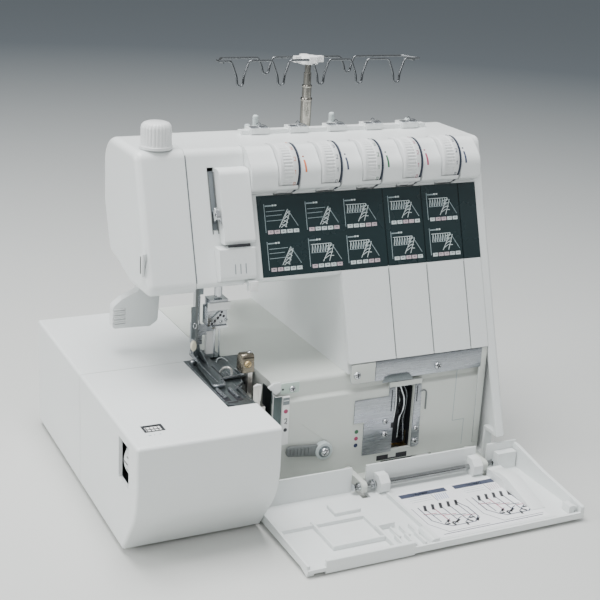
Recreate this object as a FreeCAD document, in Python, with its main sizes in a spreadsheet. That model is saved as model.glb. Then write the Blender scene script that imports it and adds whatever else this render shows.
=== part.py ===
"""Serger overlock machine, in millimetres.

X runs to the right along the machine, Y runs away from the operator and Z is up.
Shapes are drawn from the extension table's front left corner on the ground, and every
finished piece is then shifted so that the origin is the bottom centre of the whole object.
"""
import FreeCAD, Part
import math
import os
from FreeCAD import Placement, Rotation, Vector

doc = FreeCAD.newDocument("serger")
sheet = doc.addObject("Spreadsheet::Sheet", "sizes")

X, Y, Z = Vector(1, 0, 0), Vector(0, 1, 0), Vector(0, 0, 1)
DIRECTIONS = {"X": X, "Y": Y, "Z": Z}

DRIVING = {
    "centre_across": 193.0,
    "centre_deep": 118.5,
    "body_right": 362.5,
    "side_joint": 352.4,
    "body_back": 287.0,
    "bed_top": 104.0,
    "arm_bottom": 184.0,
    "arm_top": 290.0,
    "arm_back": 220.0,
    "shell_seam": 200.0,
    "head_left": 42.0,
    "head_seam": 82.8,
    "column_left": 212.6,
    "wall": 3.0,
    "front_lean": 18.7,
    "front_foot": 76.5,
    "front_foot_height": 113.3,
    "table_width": 115.3,
    "plate_left": 90.7,
    "plate_front": 48.5,
    "plate_back": 149.7,
    "plate_thick": 2.5,
    "well_right": 143.0,
    "face_front": 78.0,
    "needle_across": 118.0,
    "needle_deep": 142.0,
    "needle_bar_radius": 3.5,
    "presser_across": 103.0,
    "presser_deep": 152.0,
    "presser_bar_radius": 3.0,
    "running_gap": 0.05,
    "clear_gap": 0.4,
    "shaft_deep": 185.0,
    "shaft_high": 66.0,
    "shaft_radius": 5.0,
    "motor_deep": 250.0,
    "dial_first": 165.3,
    "dial_pitch": 38.6,
    "dial_width": 17.0,
    "dial_radius": 21.0,
    "dial_deep": 133.5,
    "dial_high": 272.0,
    "bulge_radius": 19.5,
    "hinge_deep": 47.5,
    "hinge_high": 13.0,
    "hinge_radius": 2.5,
    "pole_across": 235.0,
    "pole_deep": 231.0,
    "pole_top": 345.0,
    "takeup_deep": 140.0,
    "takeup_high": 221.0,
    "stand_top": 190.0,
    "spool_pin_top": 290.0,
    "knob_across": 63.4,
    "knob_deep": 148.0,
    "wheel_across": 21.5,
    "wheel_deep": 31.0,
    "wheel_high": 79.0,
    "wheel_radius": 20.0,
    "wheel_axle_radius": 2.5,
}

next_row = 1


def keep(alias, value):
    """Write one size into the sheet under a name."""
    global next_row
    sheet.set(f"A{next_row}", alias)
    sheet.set(f"B{next_row}", repr(round(float(value), 6)))
    sheet.setAlias(f"B{next_row}", alias)
    next_row += 1


for alias, value in DRIVING.items():
    keep(alias, value)
doc.recompute()


def size(alias):
    """Read a driving size back from the sheet."""
    return float(sheet.get(alias))


def bind(obj, prop, alias, value):
    """Keep a size in the sheet and tie a property to it."""
    keep(alias, value)
    obj.setExpression(prop, f"sizes.{alias}")


WALL = size("wall")
LEAN = math.radians(size("front_lean"))
BED = size("bed_top")
SEAM = size("head_seam")
RIGHT = size("body_right")
SIDE = size("side_joint")
BACK = size("body_back")
ARM_LOW = size("arm_bottom")
ARM_TOP = size("arm_top")
ARM_BACK = size("arm_back")
MIDDLE = size("shell_seam")
COLUMN = size("column_left")
FACE = size("face_front")


def front(height, behind=0.0):
    """Depth of the leaning front plane at a height, or of a plane behind it."""
    rise = height - size("front_foot_height")
    return size("front_foot") + math.tan(LEAN) * rise + behind / math.cos(LEAN)


# ---- ways of making a shape ------------------------------------------------------------

def box(name, x, y, z):
    """A rectangular block between two limits on each axis."""
    obj = doc.addObject("Part::Box", name)
    bind(obj, "Length", f"{name}_long", x[1] - x[0])
    bind(obj, "Width", f"{name}_deep", y[1] - y[0])
    bind(obj, "Height", f"{name}_tall", z[1] - z[0])
    obj.Placement = Placement(Vector(x[0], y[0], z[0]), Rotation())
    return obj


def rod(name, start, direction, radius, length):
    """A round bar from a start point along a direction."""
    obj = doc.addObject("Part::Cylinder", name)
    bind(obj, "Radius", f"{name}_radius", radius)
    bind(obj, "Height", f"{name}_length", length)
    obj.Placement = Placement(Vector(*start), Rotation(Z, direction))
    return obj


def fuse(name, *pieces):
    obj = doc.addObject("Part::MultiFuse", name)
    obj.Shapes = list(pieces)
    return obj


def group(name, *pieces):
    """Separate solids that share one node."""
    obj = doc.addObject("Part::Compound", name)
    obj.Links = list(pieces)
    return obj


def cut(name, base, *tools):
    obj = doc.addObject("Part::Cut", name)
    obj.Base = base
    obj.Tool = tools[0] if len(tools) == 1 else fuse(f"{name}_openings", *tools)
    return obj


def draw(sketch, points):
    """Draw a closed outline; a third number rounds that corner with a tangent arc."""
    stretches = []
    for index, point in enumerate(points):
        corner = Vector(point[0], point[1], 0)
        radius = point[2] if len(point) > 2 else 0
        if radius == 0:
            stretches.append((corner, corner, None))
            continue
        before = Vector(*points[index - 1][:2], 0) - corner
        after = Vector(*points[(index + 1) % len(points)][:2], 0) - corner
        before.normalize()
        after.normalize()
        half = before.getAngle(after) / 2
        first = corner + before * (radius / math.tan(half))
        last = corner + after * (radius / math.tan(half))
        inward = (before + after).normalize()
        middle = corner + inward * (radius / math.sin(half) - radius)
        stretches.append((first, last, Part.Arc(first, middle, last)))
    for index, (first, last, arc) in enumerate(stretches):
        if arc:
            sketch.addGeometry(arc, False)
        following = stretches[(index + 1) % len(stretches)][0]
        if (following - last).Length > 1e-6:
            sketch.addGeometry(Part.LineSegment(last, following), False)


def new_sketch(body, role, shift):
    """A sketch on one of the body's own origin planes, moved along its normal."""
    plane = next(f for f in body.Origin.OriginFeatures if f.Role == role)
    sketch = body.newObject("Sketcher::SketchObject", f"{body.Name}_sketch")
    sketch.AttachmentSupport = [(plane, "")]
    sketch.MapMode = "FlatFace"
    sketch.AttachmentOffset = Placement(Vector(0, 0, shift), Rotation())
    return sketch


def prism(name, axis, points, low, high, rounding=None):
    """An outline padded along an axis; rounding softens the edges of one end face.

    Along X the outline is (y, z), along Y it is (x, z) and along Z it is (x, y).
    rounding is (coordinate of the end face, radius).
    """
    body = doc.addObject("PartDesign::Body", name)
    role = {"X": "YZ_Plane", "Y": "XZ_Plane", "Z": "XY_Plane"}[axis]
    shift = -high if axis == "Y" else low
    sketch = new_sketch(body, role, shift)
    draw(sketch, points)
    pad = body.newObject("PartDesign::Pad", f"{name}_pad")
    pad.Profile = sketch
    bind(pad, "Length", f"{name}_length", high - low)
    if rounding:
        doc.recompute()
        place, radius = rounding
        along = "XYZ".index(axis)
        edges = [f"Edge{number + 1}" for number, edge in enumerate(pad.Shape.Edges)
                 if all(abs(vertex.Point[along] - place) < 1e-6 for vertex in edge.Vertexes)]
        fillet = body.newObject("PartDesign::Fillet", f"{name}_soft")
        fillet.Base = (pad, edges)
        bind(fillet, "Radius", f"{name}_soft", radius)
        pad.Visibility = False
        body.Tip = fillet
    return body


def turned(name, axis, centre, points):
    """A shape turned about an axis through centre; points are (radius, distance along)."""
    body = doc.addObject("PartDesign::Body", name)
    sketch = new_sketch(body, "XZ_Plane", 0)
    draw(sketch, points)
    turn = body.newObject("PartDesign::Revolution", f"{name}_turn")
    turn.Profile = sketch
    turn.ReferenceAxis = (sketch, ["V_Axis"])
    bind(turn, "Angle", f"{name}_sweep", 360)
    body.Placement = Placement(Vector(*centre), Rotation(Z, DIRECTIONS[axis]))
    return body


nodes = {}


def node(name, obj):
    """Name a finished piece and move it into the object's own frame."""
    shift = Placement(Vector(-size("centre_across"), -size("centre_deep"), 0), Rotation())
    obj.Label = name
    obj.Placement = shift.multiply(obj.Placement)
    nodes[name] = obj


# ---- base ------------------------------------------------------------------------------

def base_tray():
    plate = box("tray_plate", (119, 358), (68, 284), (4, 8))
    arms = []
    for count, left in enumerate((214, 336)):
        outline = [(42.5, 9), (66, 9), (66, 7.5), (76, 7.5), (76, 17.5), (42.5, 17.5, 4)]
        arm = prism(f"hinge_arm_{count}", "X", outline, left, left + 5)
        arms.append(arm)
    start = (210, size("hinge_deep"), size("hinge_high"))
    bore = rod("hinge_arm_bore", start, X, size("hinge_radius"), 140)
    node("base_tray", cut("base_tray_cut", fuse("tray_and_arms", plate, *arms), bore))


def rubber_feet():
    places = [(135, 82), (344, 82), (135, 270), (344, 270), (20, 62), (20, 262)]
    feet = [turned(f"foot_{i}", "Z", (x, y, 0), [(0, 0), (7, 0, 1), (8.5, 4), (0, 4)])
            for i, (x, y) in enumerate(places)]
    node("rubber_feet", group("rubber_feet_group", *feet))


def lower_housing():
    """The bed and face of the machine, open below and open up into the column."""
    outline = [(FACE, 8), (BACK, 8), (BACK, BED, 3), (82, BED, 4), (82, 88, 1.5), (FACE, 86, 2)]
    outer = prism("housing_outer", "X", outline, 115.7, SIDE)
    inner = box("housing_hollow", (118.7, 354), (FACE + 7, BACK - WALL), (7, BED - WALL))
    face_relief = box("face_hollow", (147, 354), (FACE + WALL, FACE + 8), (7, 83))
    right = size("well_right")
    well = box("knife_well", (115, right), (FACE - 1, 150.2), (20, BED + 1))
    column_way = box("column_way", (COLUMN + 4, 350), (92, BACK - 8), (BED - 4, BED + 1))
    opening = box("looper_opening", (260.5, 279.5), (FACE - 1, FACE + 9), (26, 87))
    slider = box("slider_slot", (251, 303), (FACE - 1, FACE + 4), (9.5, 16.5))
    pivot = rod("selector_bore", (191.5, FACE - 1, 38), Y, 4.05, 5)
    bridge_way = box("bridge_way", (115, 119), (121.5, 138.5), (7, 17))
    shell = cut("housing_shell", outer, inner, face_relief, well, column_way, opening, slider,
                pivot, bridge_way)
    wall = box("well_wall", (right, right + 4), (FACE + 4, 151), (20, BED - 2))
    rear = box("well_back", (118.7, right + 2), (150.2, 153.2), (20, BED - 2))
    node("lower_housing", fuse("lower_housing_shape", shell, wall, rear))


def side_cover():
    """Right side shell of base, column and arm, with a hole for the handwheel's shaft."""
    low = 36
    outline = [(68, 8), (68, low), (front(low), low), (front(ARM_TOP) + 0.5, ARM_TOP, 8),
               (ARM_BACK, ARM_TOP, 18), (ARM_BACK, 182), (BACK, 182, 10), (BACK, 8)]
    outer = prism("side_outer", "X", outline, SIDE, RIGHT, (RIGHT, 4))
    top = ARM_TOP - WALL
    hollow = [(71, 11), (71, low + 3), (front(low + 3, 3), low + 3), (front(top, 3), top, 5),
              (ARM_BACK - 3, top, 15), (ARM_BACK - 3, 179), (BACK - 3, 179, 7), (BACK - 3, 11)]
    inner = prism("side_hollow", "X", hollow, SIDE - 1, RIGHT - WALL - 2)
    hole_at = (SIDE - 2, size("shaft_deep"), size("shaft_high"))
    hole = rod("side_shaft_hole", hole_at, X, 8, 20)
    switch = box("side_switch_hole", (SIDE - 2, RIGHT + 1), (245, 267), (29, 45.5))
    inlet = box("side_inlet_hole", (SIDE - 2, RIGHT + 1), (212, 238), (28, 46))
    node("side_cover", cut("side_cover_shape", outer, inner, hole, switch, inlet))


def extension_table():
    """Block beside the free arm; its right edge is notched round the needle plate."""
    outline = [(0, BED, 3), (0, 50, 62), (34, 4), (BACK, 4), (BACK, BED, 2.5)]
    outer = prism("table_outer", "X", outline, 0, size("table_width"), (0, 2.5))
    hollow = [(3, BED - 3), (3, 51, 59), (36, 7), (BACK - 3, 7), (BACK - 3, BED - 3)]
    inner = prism("table_hollow", "X", hollow, 3, size("table_width") - WALL)
    notch = box("table_notch", (size("plate_left"), 120),
                (size("plate_front"), size("plate_back")), (3, BED + 1))
    lip = box("table_notch_wall", (size("plate_left") - WALL, size("plate_left")),
              (size("plate_front") - WALL, size("plate_back") + WALL), (5, BED - 1))
    recess = box("wheel_recess", (-1, 7), (19, 43), (62, 96))
    window = box("window_recess", (14.5, 31), (25, 37), (BED - 1.6, BED + 1))
    shell = cut("table_shell", outer, inner)
    bosses = [box(f"wheel_boss_{i}", (14, 29), (y, y + 4), (70, BED - 1)) for i, y in
              enumerate((14, 44))]
    bore_at = (size("wheel_across"), 10, size("wheel_high"))
    bore = rod("wheel_bore", bore_at, Y, size("wheel_axle_radius") + size("running_gap"), 44)
    seams = [box("table_top_seam", (-1, 90), (148, 148.5), (BED - 0.8, BED + 1)),
             box("table_side_seam", (-1, 0.8), (148, 148.5), (3, BED + 1))]
    shape = cut("table_shape", fuse("table_with_lip", shell, lip, *bosses), notch, recess,
                window, bore, *seams)
    node("extension_table", shape)


def needle_plate():
    left, low = size("plate_left"), BED - size("plate_thick")
    near, far = size("plate_front"), size("plate_back")
    outline = [(left + 0.2, near + 7), (left + 7, near + 0.2), (114.9, near + 0.2), (114.9, 86),
               (122, 92), (122, 112), (142.6, 118), (142.6, far), (left + 0.2, far)]
    blank = prism("plate_blank", "Z", outline, low, BED)
    cuts = []
    for count, across in enumerate((97.5, 103.5, 109.5)):
        cuts.append(box(f"feed_slot_{count}", (across - 1.6, across + 1.6), (108, 150 - 8),
                        (low - 1, BED + 1)))
    cuts.append(box("needle_slot", (113, 123), (138.5, 145.5), (low - 1, BED + 1)))
    cuts.append(box("finger_slot_0", (104, 106.6), (57, 72), (low - 1, BED + 1)))
    cuts.append(box("finger_slot_1", (109.5, 112), (62, 80), (low - 1, BED + 1)))
    node("needle_plate", cut("needle_plate_shape", blank, *cuts))


# ---- arm and column --------------------------------------------------------------------

def panel_seat(low, high, depth):
    """Outline of a recess in the leaning front that takes a panel."""
    return [(front(low, -1), low), (front(low, depth), low), (front(high, depth), high),
            (front(high, -1), high)]


def dial_rooms(name, radius, thread_slot=0.0):
    """Round clearances for the five tension dials, with a thread slot on their right."""
    rooms = []
    for count in range(5):
        middle = size("dial_first") + count * size("dial_pitch")
        half = size("dial_width") / 2 + size("clear_gap")
        start = (middle - half, size("dial_deep"), size("dial_high"))
        rooms.append(rod(f"{name}_{count}", start, X, radius, 2 * half + thread_slot))
        if thread_slot > 0:
            span = (middle + half, middle + half + thread_slot)
            rooms.append(box(f"{name}_slot_{count}", span, (105, 125), (250, 263)))
    return rooms


def arm_housing():
    """Front half of the arm and column, split from the rear cover at a vertical seam."""
    arm = [(front(ARM_LOW), ARM_LOW, 4), (MIDDLE, ARM_LOW), (MIDDLE, ARM_TOP),
           (front(ARM_TOP) + 0.5, ARM_TOP, 8)]
    arm_outer = prism("arm_outer", "X", arm, SEAM, SIDE)
    low, top = ARM_LOW + WALL, ARM_TOP - WALL
    arm_in = [(front(low, 3), low), (MIDDLE + 1, low), (MIDDLE + 1, top), (front(top, 3), top, 5)]
    arm_inner = prism("arm_inner", "X", arm_in, SEAM - 1, SIDE + 1)
    behind = 4.5
    column = [(front(BED, behind), BED), (MIDDLE, BED), (MIDDLE, 190), (front(190, behind), 190)]
    column_outer = prism("column_outer", "X", column, COLUMN, SIDE)
    column_in = [(front(BED - 1, behind + 3), BED - 1), (MIDDLE + 1, BED - 1),
                 (MIDDLE + 1, 195), (front(195, behind + 3), 195)]
    column_inner = prism("column_inner", "X", column_in, COLUMN + 3, SIDE + 1)
    slot = box("takeup_slot", (100.5, 106), (105, 140), (228, 276))
    dials = box("dial_window", (143, 342), (100, 150), (256, 283))
    bars = box("bar_opening", (93, 130), (124, 172), (ARM_LOW - 1, low + 1))
    lever = box("lever_opening", (79, 94), (172, 202), (ARM_LOW - 1, low + 1))
    threader = box("threader_slot", (124.5, 133), (96, 112), (ARM_LOW - 1, 190.2))
    seats = [prism("chart_seat", "X", panel_seat(188.8, 252.2, 2.55), 140.8, SIDE + 1),
             prism("panel_seat", "X", panel_seat(ARM_LOW - 1, 188.9, 4.2), COLUMN, SIDE + 1)]
    reliefs = dial_rooms("arm_dial_room", size("dial_radius") + 0.8)
    node("arm_housing", cut("arm_housing_shape", fuse("arm_and_column", arm_outer, column_outer),
                            arm_inner, column_inner, slot, dials, bars, lever, threader, *seats,
                            *reliefs))


def head_cover():
    """Left end cap of the arm, with the opening for the presser dial's screw."""
    outline = [(99.3, 180.5, 8), (150, 178.5, 30), (176, 186, 20), (204, 190, 14),
               (ARM_BACK, 232, 20), (ARM_BACK, ARM_TOP, 24), (front(ARM_TOP) + 0.5, ARM_TOP, 9)]
    outer = prism("head_outer", "X", outline, size("head_left"), SEAM - 0.2,
                  (size("head_left"), 6))
    hollow = [(104.5, 186.5, 4), (148, 184.5, 20), (174, 192, 15), (200, 196, 10),
              (ARM_BACK - 4, 235, 15), (ARM_BACK - 4, 286, 18), (136, 286, 5)]
    inner = prism("head_inner", "X", hollow, size("head_left") + 3.5, SEAM + 1)
    hole_at = (size("knob_across"), size("knob_deep"), 280)
    screw_hole = rod("presser_screw_hole", hole_at, Z, 4.4, 20)
    cutter = box("cutter_notch", (40, 44.6), (110.5, 113), (196, 214))
    node("head_cover", cut("head_cover_shape", outer, inner, screw_hole, cutter))


def rear_cover():
    """Rear half of the arm, and the deeper lower column that carries the spool stand."""
    arm = [(MIDDLE, ARM_LOW), (ARM_BACK, ARM_LOW, 3), (ARM_BACK, ARM_TOP, 18), (MIDDLE, ARM_TOP)]
    arm_outer = prism("rear_arm_outer", "X", arm, SEAM, SIDE)
    arm_in = [(MIDDLE - 1, ARM_LOW + 3), (ARM_BACK - 3, ARM_LOW + 3),
              (ARM_BACK - 3, ARM_TOP - 3, 15), (MIDDLE - 1, ARM_TOP - 3)]
    arm_inner = prism("rear_arm_inner", "X", arm_in, SEAM + 3, SIDE + 1)
    column = [(MIDDLE, BED), (BACK, BED), (BACK, 182, 10), (MIDDLE, 182)]
    column_outer = prism("rear_column_outer", "X", column, COLUMN, SIDE)
    column_in = [(MIDDLE - 1, BED - 1), (BACK - 3, BED - 1), (BACK - 3, 179, 7),
                 (MIDDLE - 1, 179)]
    column_inner = prism("rear_column_inner", "X", column_in, COLUMN + 3, SIDE + 1)
    filler = box("rear_neck", (COLUMN, SIDE), (MIDDLE, ARM_BACK), (180, 186))
    passage = box("rear_passage", (COLUMN + 3, SIDE + 1), (MIDDLE - 1, ARM_BACK - 3), (170, 200))
    body = fuse("rear_bodies", arm_outer, column_outer, filler)
    node("rear_cover", cut("rear_cover_shape", body, arm_inner, column_inner, passage))


def cast_frame():
    """Casting that carries the shafts, bars and motor inside the covers."""
    plate = box("frame_plate", (150, 346), (100, 216), (9, 16))
    shaft_walls = [box(f"shaft_wall_{i}", (x, x + 8), (170, 204), (14, 92))
                   for i, x in enumerate((160, 326))]
    column = box("frame_column", (236, 300), (180, 204), (92, 204))
    foot = box("frame_foot", (236, 300), (196, 212), (14, 96))
    arm = box("frame_arm", (92, 304), (176, 198), (200, 224))
    lugs = [box(f"bar_lug_{i}", (94, 127), (133, 178), (z, z + 9)) for i, z in
            enumerate((201, 240))]
    web = box("bar_web", (94, 100), (170, 180), (201, 249))
    nose = box("free_arm_nose", (92, 114.5), (51, 100), (60, 101.2))
    nose_foot = box("free_arm_foot", (92, 114.5), (51, 148), (9, 66))
    bridge = box("frame_bridge", (112, 156), (122, 138), (9, 16))
    bracket = [box(f"lever_bracket_{i}", (83.4, 93), (y, y + 6), (165, 204))
               for i, y in enumerate((175.5, 194.0))]
    link = box("bracket_link", (83.4, 95), (175.5, 199.5), (200, 206))
    post = box("takeup_post", (95, 101), (135, 144.5), (208, 226))
    axle_at = (96, size("takeup_deep"), size("takeup_high"))
    axle = rod("takeup_axle", axle_at, X, 2, 9.5)
    body = fuse("frame_body", plate, *shaft_walls, column, foot, arm, *lugs, web, nose,
                nose_foot, bridge, *bracket, link, post, axle)
    gap = size("running_gap")
    shaft_at = (150, size("shaft_deep"), size("shaft_high"))
    bores = [
        rod("frame_shaft_bore", shaft_at, X, size("shaft_radius") + gap, 200),
        rod("frame_needle_bore", (size("needle_across"), size("needle_deep"), 190), Z, 6, 80),
        rod("frame_presser_bore", (size("presser_across"), size("presser_deep"), 190), Z,
            size("presser_bar_radius") + gap, 80),
        rod("frame_lever_bore", (88, 170, 172), Y, 2.5 + gap, 40),
    ]
    node("cast_frame", cut("cast_frame_shape", body, *bores))


def bar_bushes():
    """Bushes in the frame's two lugs that guide the needle bar."""
    bushes = []
    for count, low in enumerate((200, 239)):
        at = (size("needle_across"), size("needle_deep"), low)
        outer = rod(f"bush_{count}", at, Z, 6, 11)
        bore = rod(f"bush_bore_{count}", at, Z, size("needle_bar_radius") + size("running_gap"), 11)
        bushes.append(cut(f"bush_ring_{count}", outer, bore))
    return bushes


def front_panels():
    """Dark chart panel and white lower panel on the leaning plane, with thread grooves."""
    grooves = (258.1, 296.0, 334.1)
    for name, low, high, left, thick in (("chart_panel", 189.0, 252.0, 141.0, 2.5),
                                         ("lower_front_panel", 113.4, 188.7, COLUMN, 4.0)):
        outline = [(front(low), low), (front(low, thick), low), (front(high, thick), high),
                   (front(high), high)]
        plate = prism(f"{name}_plate", "X", outline, left, SIDE - 0.4)
        cuts = []
        for count, across in enumerate(grooves):
            groove = [(front(low - 2, -2), low - 2), (front(low - 2, 1.2), low - 2),
                      (front(high + 2, 1.2), high + 2), (front(high + 2, -2), high + 2)]
            cuts.append(prism(f"{name}_groove_{count}", "X", groove, across - 0.6, across + 0.6))
        node(name, cut(f"{name}_shape", plate, *cuts))


def tension_housing():
    """Rounded bulge across the arm with a slot for each tension dial."""
    deep, high, radius = size("dial_deep"), size("dial_high"), size("bulge_radius")
    outline = [(front(254), 254), (deep - radius, 259, 4), (deep - radius + 1.0, high + 4, 14),
               (deep - 2, ARM_TOP + 1.5, 14), (deep + 14, ARM_TOP + 0.2), (deep + 14, ARM_TOP)]
    outline += [(front(ARM_TOP) + 3, ARM_TOP),
                (front(ARM_TOP - 2.8), ARM_TOP - 2.8)]
    outer = prism("bulge_outer", "X", outline, 133.2, 350.5)
    slots = dial_rooms("bulge_dial_room", size("dial_radius") + 0.8, 2.0)
    node("tension_housing", cut("tension_housing_shape", outer, *slots))


def tension_shafts():
    """Fixed stub axles that the five tension dials turn on."""
    deep, high = size("dial_deep"), size("dial_high")
    axles = []
    for count in range(5):
        middle = size("dial_first") + count * size("dial_pitch")
        half = size("dial_width") / 2 + 1.5
        axles.append(rod(f"dial_axle_{count}", (middle - half, deep, high), X, 3, 2 * half))
    plate = box("dial_axle_plate", (143.5, 341.5), (deep + 4, deep + 7), (high - 14, high + 8))
    ears = []
    for count in range(5):
        middle = size("dial_first") + count * size("dial_pitch")
        for side in (-1, 1):
            inner = middle + side * (size("dial_width") / 2 + 0.6)
            outer = inner + side * 2.2
            ears.append(box(f"dial_ear_{count}_{'left' if side < 0 else 'right'}",
                            (min(inner, outer), max(inner, outer)), (deep - 1, deep + 6),
                            (high - 4, high + 4)))
    rails = []
    for count in range(5):
        middle = size("dial_first") + count * size("dial_pitch")
        rails.append(box(f"dial_relief_{count}",
                         (middle - size("dial_width") / 2 - 0.5,
                          middle + size("dial_width") / 2 + 0.5),
                         (deep + 3, deep + 8), (high - 15, high + 9)))
    rail = cut("dial_rail", plate, *rails)
    bridge = box("dial_rail_bridge", (143.5, 341.5), (deep + 22, deep + 25), (high - 14, high + 2))
    ribs = []
    for count in range(6):
        across = size("dial_first") + (count - 0.5) * size("dial_pitch")
        across = min(max(across, 146.0), 339.0)
        ribs.append(box(f"dial_rib_{count}", (across - 2, across + 2), (deep + 5, deep + 24),
                        (high - 12, high)))
    node("tension_shafts", fuse("tension_shafts_shape", rail, bridge, *ribs, *ears, *axles))


def takeup_cover():
    """Raised cover over the take-up lever, and the ribbed thread guard below it."""
    proud = 11
    outline = [(front(219, -proud), 219, 3), (front(219, -0.05), 219), (front(276, -0.05), 276),
               (front(276, -proud + 1), 276, 6)]
    cover = prism("takeup_block", "X", outline, 106.4, 132.8)
    low, high = 190.5, 216.5
    outline = [(front(low, -proud + 3), low, 4), (front(low, -0.05), low),
               (front(high, -0.05), high), (front(high, -proud), high)]
    guard = prism("guard_block", "X", outline, 100.6, 131.9)
    ribs = []
    for count in range(3):
        across = 112.5 + 5.0 * count
        rib = [(front(low, -proud - 1), low + 1), (front(low, -proud + 3), low + 1),
               (front(high - 8, -proud + 1), high - 8), (front(high - 8, -proud - 1), high - 8)]
        ribs.append(prism(f"guard_rib_{count}", "X", rib, across - 0.8, across + 0.8))
    guard = cut("guard_ribbed", guard, *ribs)
    node("takeup_cover", group("takeup_cover_group", cover, guard))


# ---- thread path above -----------------------------------------------------------------

def thread_guides():
    bar = box("guide_bar", (152, 334), (184, 192), (ARM_TOP, 293.5))
    pads = []
    springs = []
    for count in range(5):
        across = 168.5 + 37.0 * count
        pads.append(box(f"guide_pad_{count}", (across - 9, across + 9), (182, 194),
                        (ARM_TOP, 295.5)))
        springs.append(box(f"guide_spring_{count}", (across - 8, across + 8), (180.6, 182),
                           (291, 295.2)))
    node("thread_guide_bar", fuse("thread_guide_bar_shape", bar, *pads))
    node("guide_springs", group("guide_springs_group", *springs))


def spool_stand():
    outline = [(222.0, 182.0), (286.6, 182.0), (286.6, 190.0, 3), (222.0, 190.0, 3)]
    node("spool_stand", prism("stand_plate", "X", outline, 150, 352))
    pins = []
    top = size("spool_pin_top")
    for count, (x, y) in enumerate(((177, 229), (259, 229), (341, 229), (202, 268), (281, 268))):
        pins.append(turned(f"spool_pin_{count}", "Z", (x, y, size("stand_top")),
                           [(0, 0), (7, 0), (6, 4, 1), (2.75, 8), (2.75, top - 190, 2),
                            (0, top - 190)]))
    node("spool_pins", group("spool_pins_group", *pins))


def thread_pole():
    """Telescopic pole: each section slides in the one outside it."""
    x, y, top = size("pole_across"), size("pole_deep"), size("pole_top")
    gap = size("running_gap")
    sections = (("pole_base", 190.0, top - 33.5, 5.0), ("pole_lower", 196.0, top - 22, 4.25),
                ("pole_upper", 200.0, top - 11, 3.5))
    for name, low, high, radius in sections:
        tube = rod(f"{name}_tube", (x, y, low), Z, radius, high - low)
        floor = 4 if name == "pole_base" else 0
        if name == "pole_upper":
            tip = rod("pole_tip", (x, y, high), Z, radius - 0.75, top - 2 - high)
            node(name, fuse("pole_upper_shape", tube, tip))
            continue
        bore = rod(f"{name}_bore", (x, y, low + floor), Z, radius - 0.75 + gap, high - low)
        node(name, cut(f"{name}_shape", tube, bore))


def guide_wire():
    """Bent wire with five front loops and two rear loops, clamped under a cap on the pole."""
    x, y, top = size("pole_across"), size("pole_deep"), size("pole_top")
    radius = 1.1
    low = top + 0.5

    def bent(name, depth, loops, left, right, drop):
        points = [Vector(left, depth, low)]
        for across in loops:
            points += [Vector(across - 9, depth, low), Vector(across - 2.2, depth - 3, low - drop),
                       Vector(across + 2.2, depth - 3, low - drop), Vector(across + 9, depth, low)]
        points.append(Vector(right, depth, low))
        runs = []
        for count in range(len(points) - 1):
            along = points[count + 1] - points[count]
            runs.append(rod(f"{name}_run_{count}", tuple(points[count]), along, radius,
                            along.Length))
        balls = []
        for count, point in enumerate(points):
            ball = doc.addObject("Part::Sphere", f"{name}_bend_{count}")
            bind(ball, "Radius", f"{name}_bend_{count}_radius", radius)
            ball.Placement = Placement(point, Rotation())
            balls.append(ball)
        return runs + balls

    loops = [x - 70 + 39 * i for i in range(5)]
    left, right, inset = x - 91, x + 112, 10
    front_wire = bent("front_wire", y - 9, loops, left, right, 24)
    rear_wire = bent("rear_wire", y + 9, [x - 38, x + 44], left + inset, right - inset, 15)
    ends = [rod("wire_left_end", (left, y - 9, low), Vector(inset, 18, 0), radius,
                math.hypot(inset, 18)),
            rod("wire_right_end", (right, y - 9, low), Vector(-inset, 18, 0), radius,
                math.hypot(inset, 18))]
    node("guide_wire", fuse("guide_wire_shape", *front_wire, *rear_wire, *ends))
    cap = prism("cap_outer", "Y", [(x - 10, top - 2, 2), (x + 10, top - 2, 2),
                                   (x + 10, top + 4.5, 2), (x - 10, top + 4.5, 2)], y - 12, y + 12)
    clear = fuse("cap_wire_way",
                 rod("cap_front_way", (x - 30, y - 9, low), X, radius, 60),
                 rod("cap_rear_way", (x - 30, y + 9, low), X, radius, 60))
    node("pole_cap", cut("pole_cap_shape", cap, clear))


# ---- looper side -----------------------------------------------------------------------

def face_plates():
    """Steel plates round the looper opening and the strip along the top of the face."""
    y = FACE
    left = [(231, 25, 1), (260.0, 25), (260.0, 86, 1), (254, 86, 1), (254, 78.5), (220.8, 78.5, 1),
            (220.8, 57), (231, 57)]
    plate = prism("plate_left_blank", "Y", left, y - 1.2, y)
    right = prism("plate_right_blank", "Y", [(280.0, 26, 1), (288, 26, 3), (286, 86, 2),
                                             (280.0, 86)], y - 1.2, y)
    strip = prism("strip_blank", "Y", [(214.5, 94.5, 4), (346, 94.5, 2), (346, 112.8),
                                       (214.5, 112.8)], y - 1.4, y)
    node("looper_plates", group("looper_plates_group", plate, right, strip))


def cover_screws():
    spots = [(220.5, 76.6, 102.5), (300.5, 76.6, 101.5), (252, 76.8, 55), (252, 76.8, 43),
             (283.6, 76.8, 44), (283, 76.8, 32), (162, 82.0, 92.5)]
    heads = []
    for count, (x, y, z) in enumerate(spots):
        head = turned(f"screw_{count}", "Y", (x, y - 2.2, z),
                      [(0, 0), (2.4, 0, 1.2), (3.4, 1.6), (3.4, 2.2), (0, 2.2)])
        cross = box(f"screw_slot_{count}", (x - 2, x + 2), (y - 3, y - 1.4), (z - 0.35, z + 0.35))
        bar = box(f"screw_bar_{count}", (x - 0.35, x + 0.35), (y - 3, y - 1.4), (z - 2, z + 2))
        heads.append(cut(f"screw_head_{count}", head, cross, bar))
    node("cover_screws", group("cover_screws_group", *heads))


def hinge_shaft():
    start = (209, size("hinge_deep"), size("hinge_high"))
    node("hinge_shaft", rod("hinge_rod", start, X, size("hinge_radius"), 138))


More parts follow.
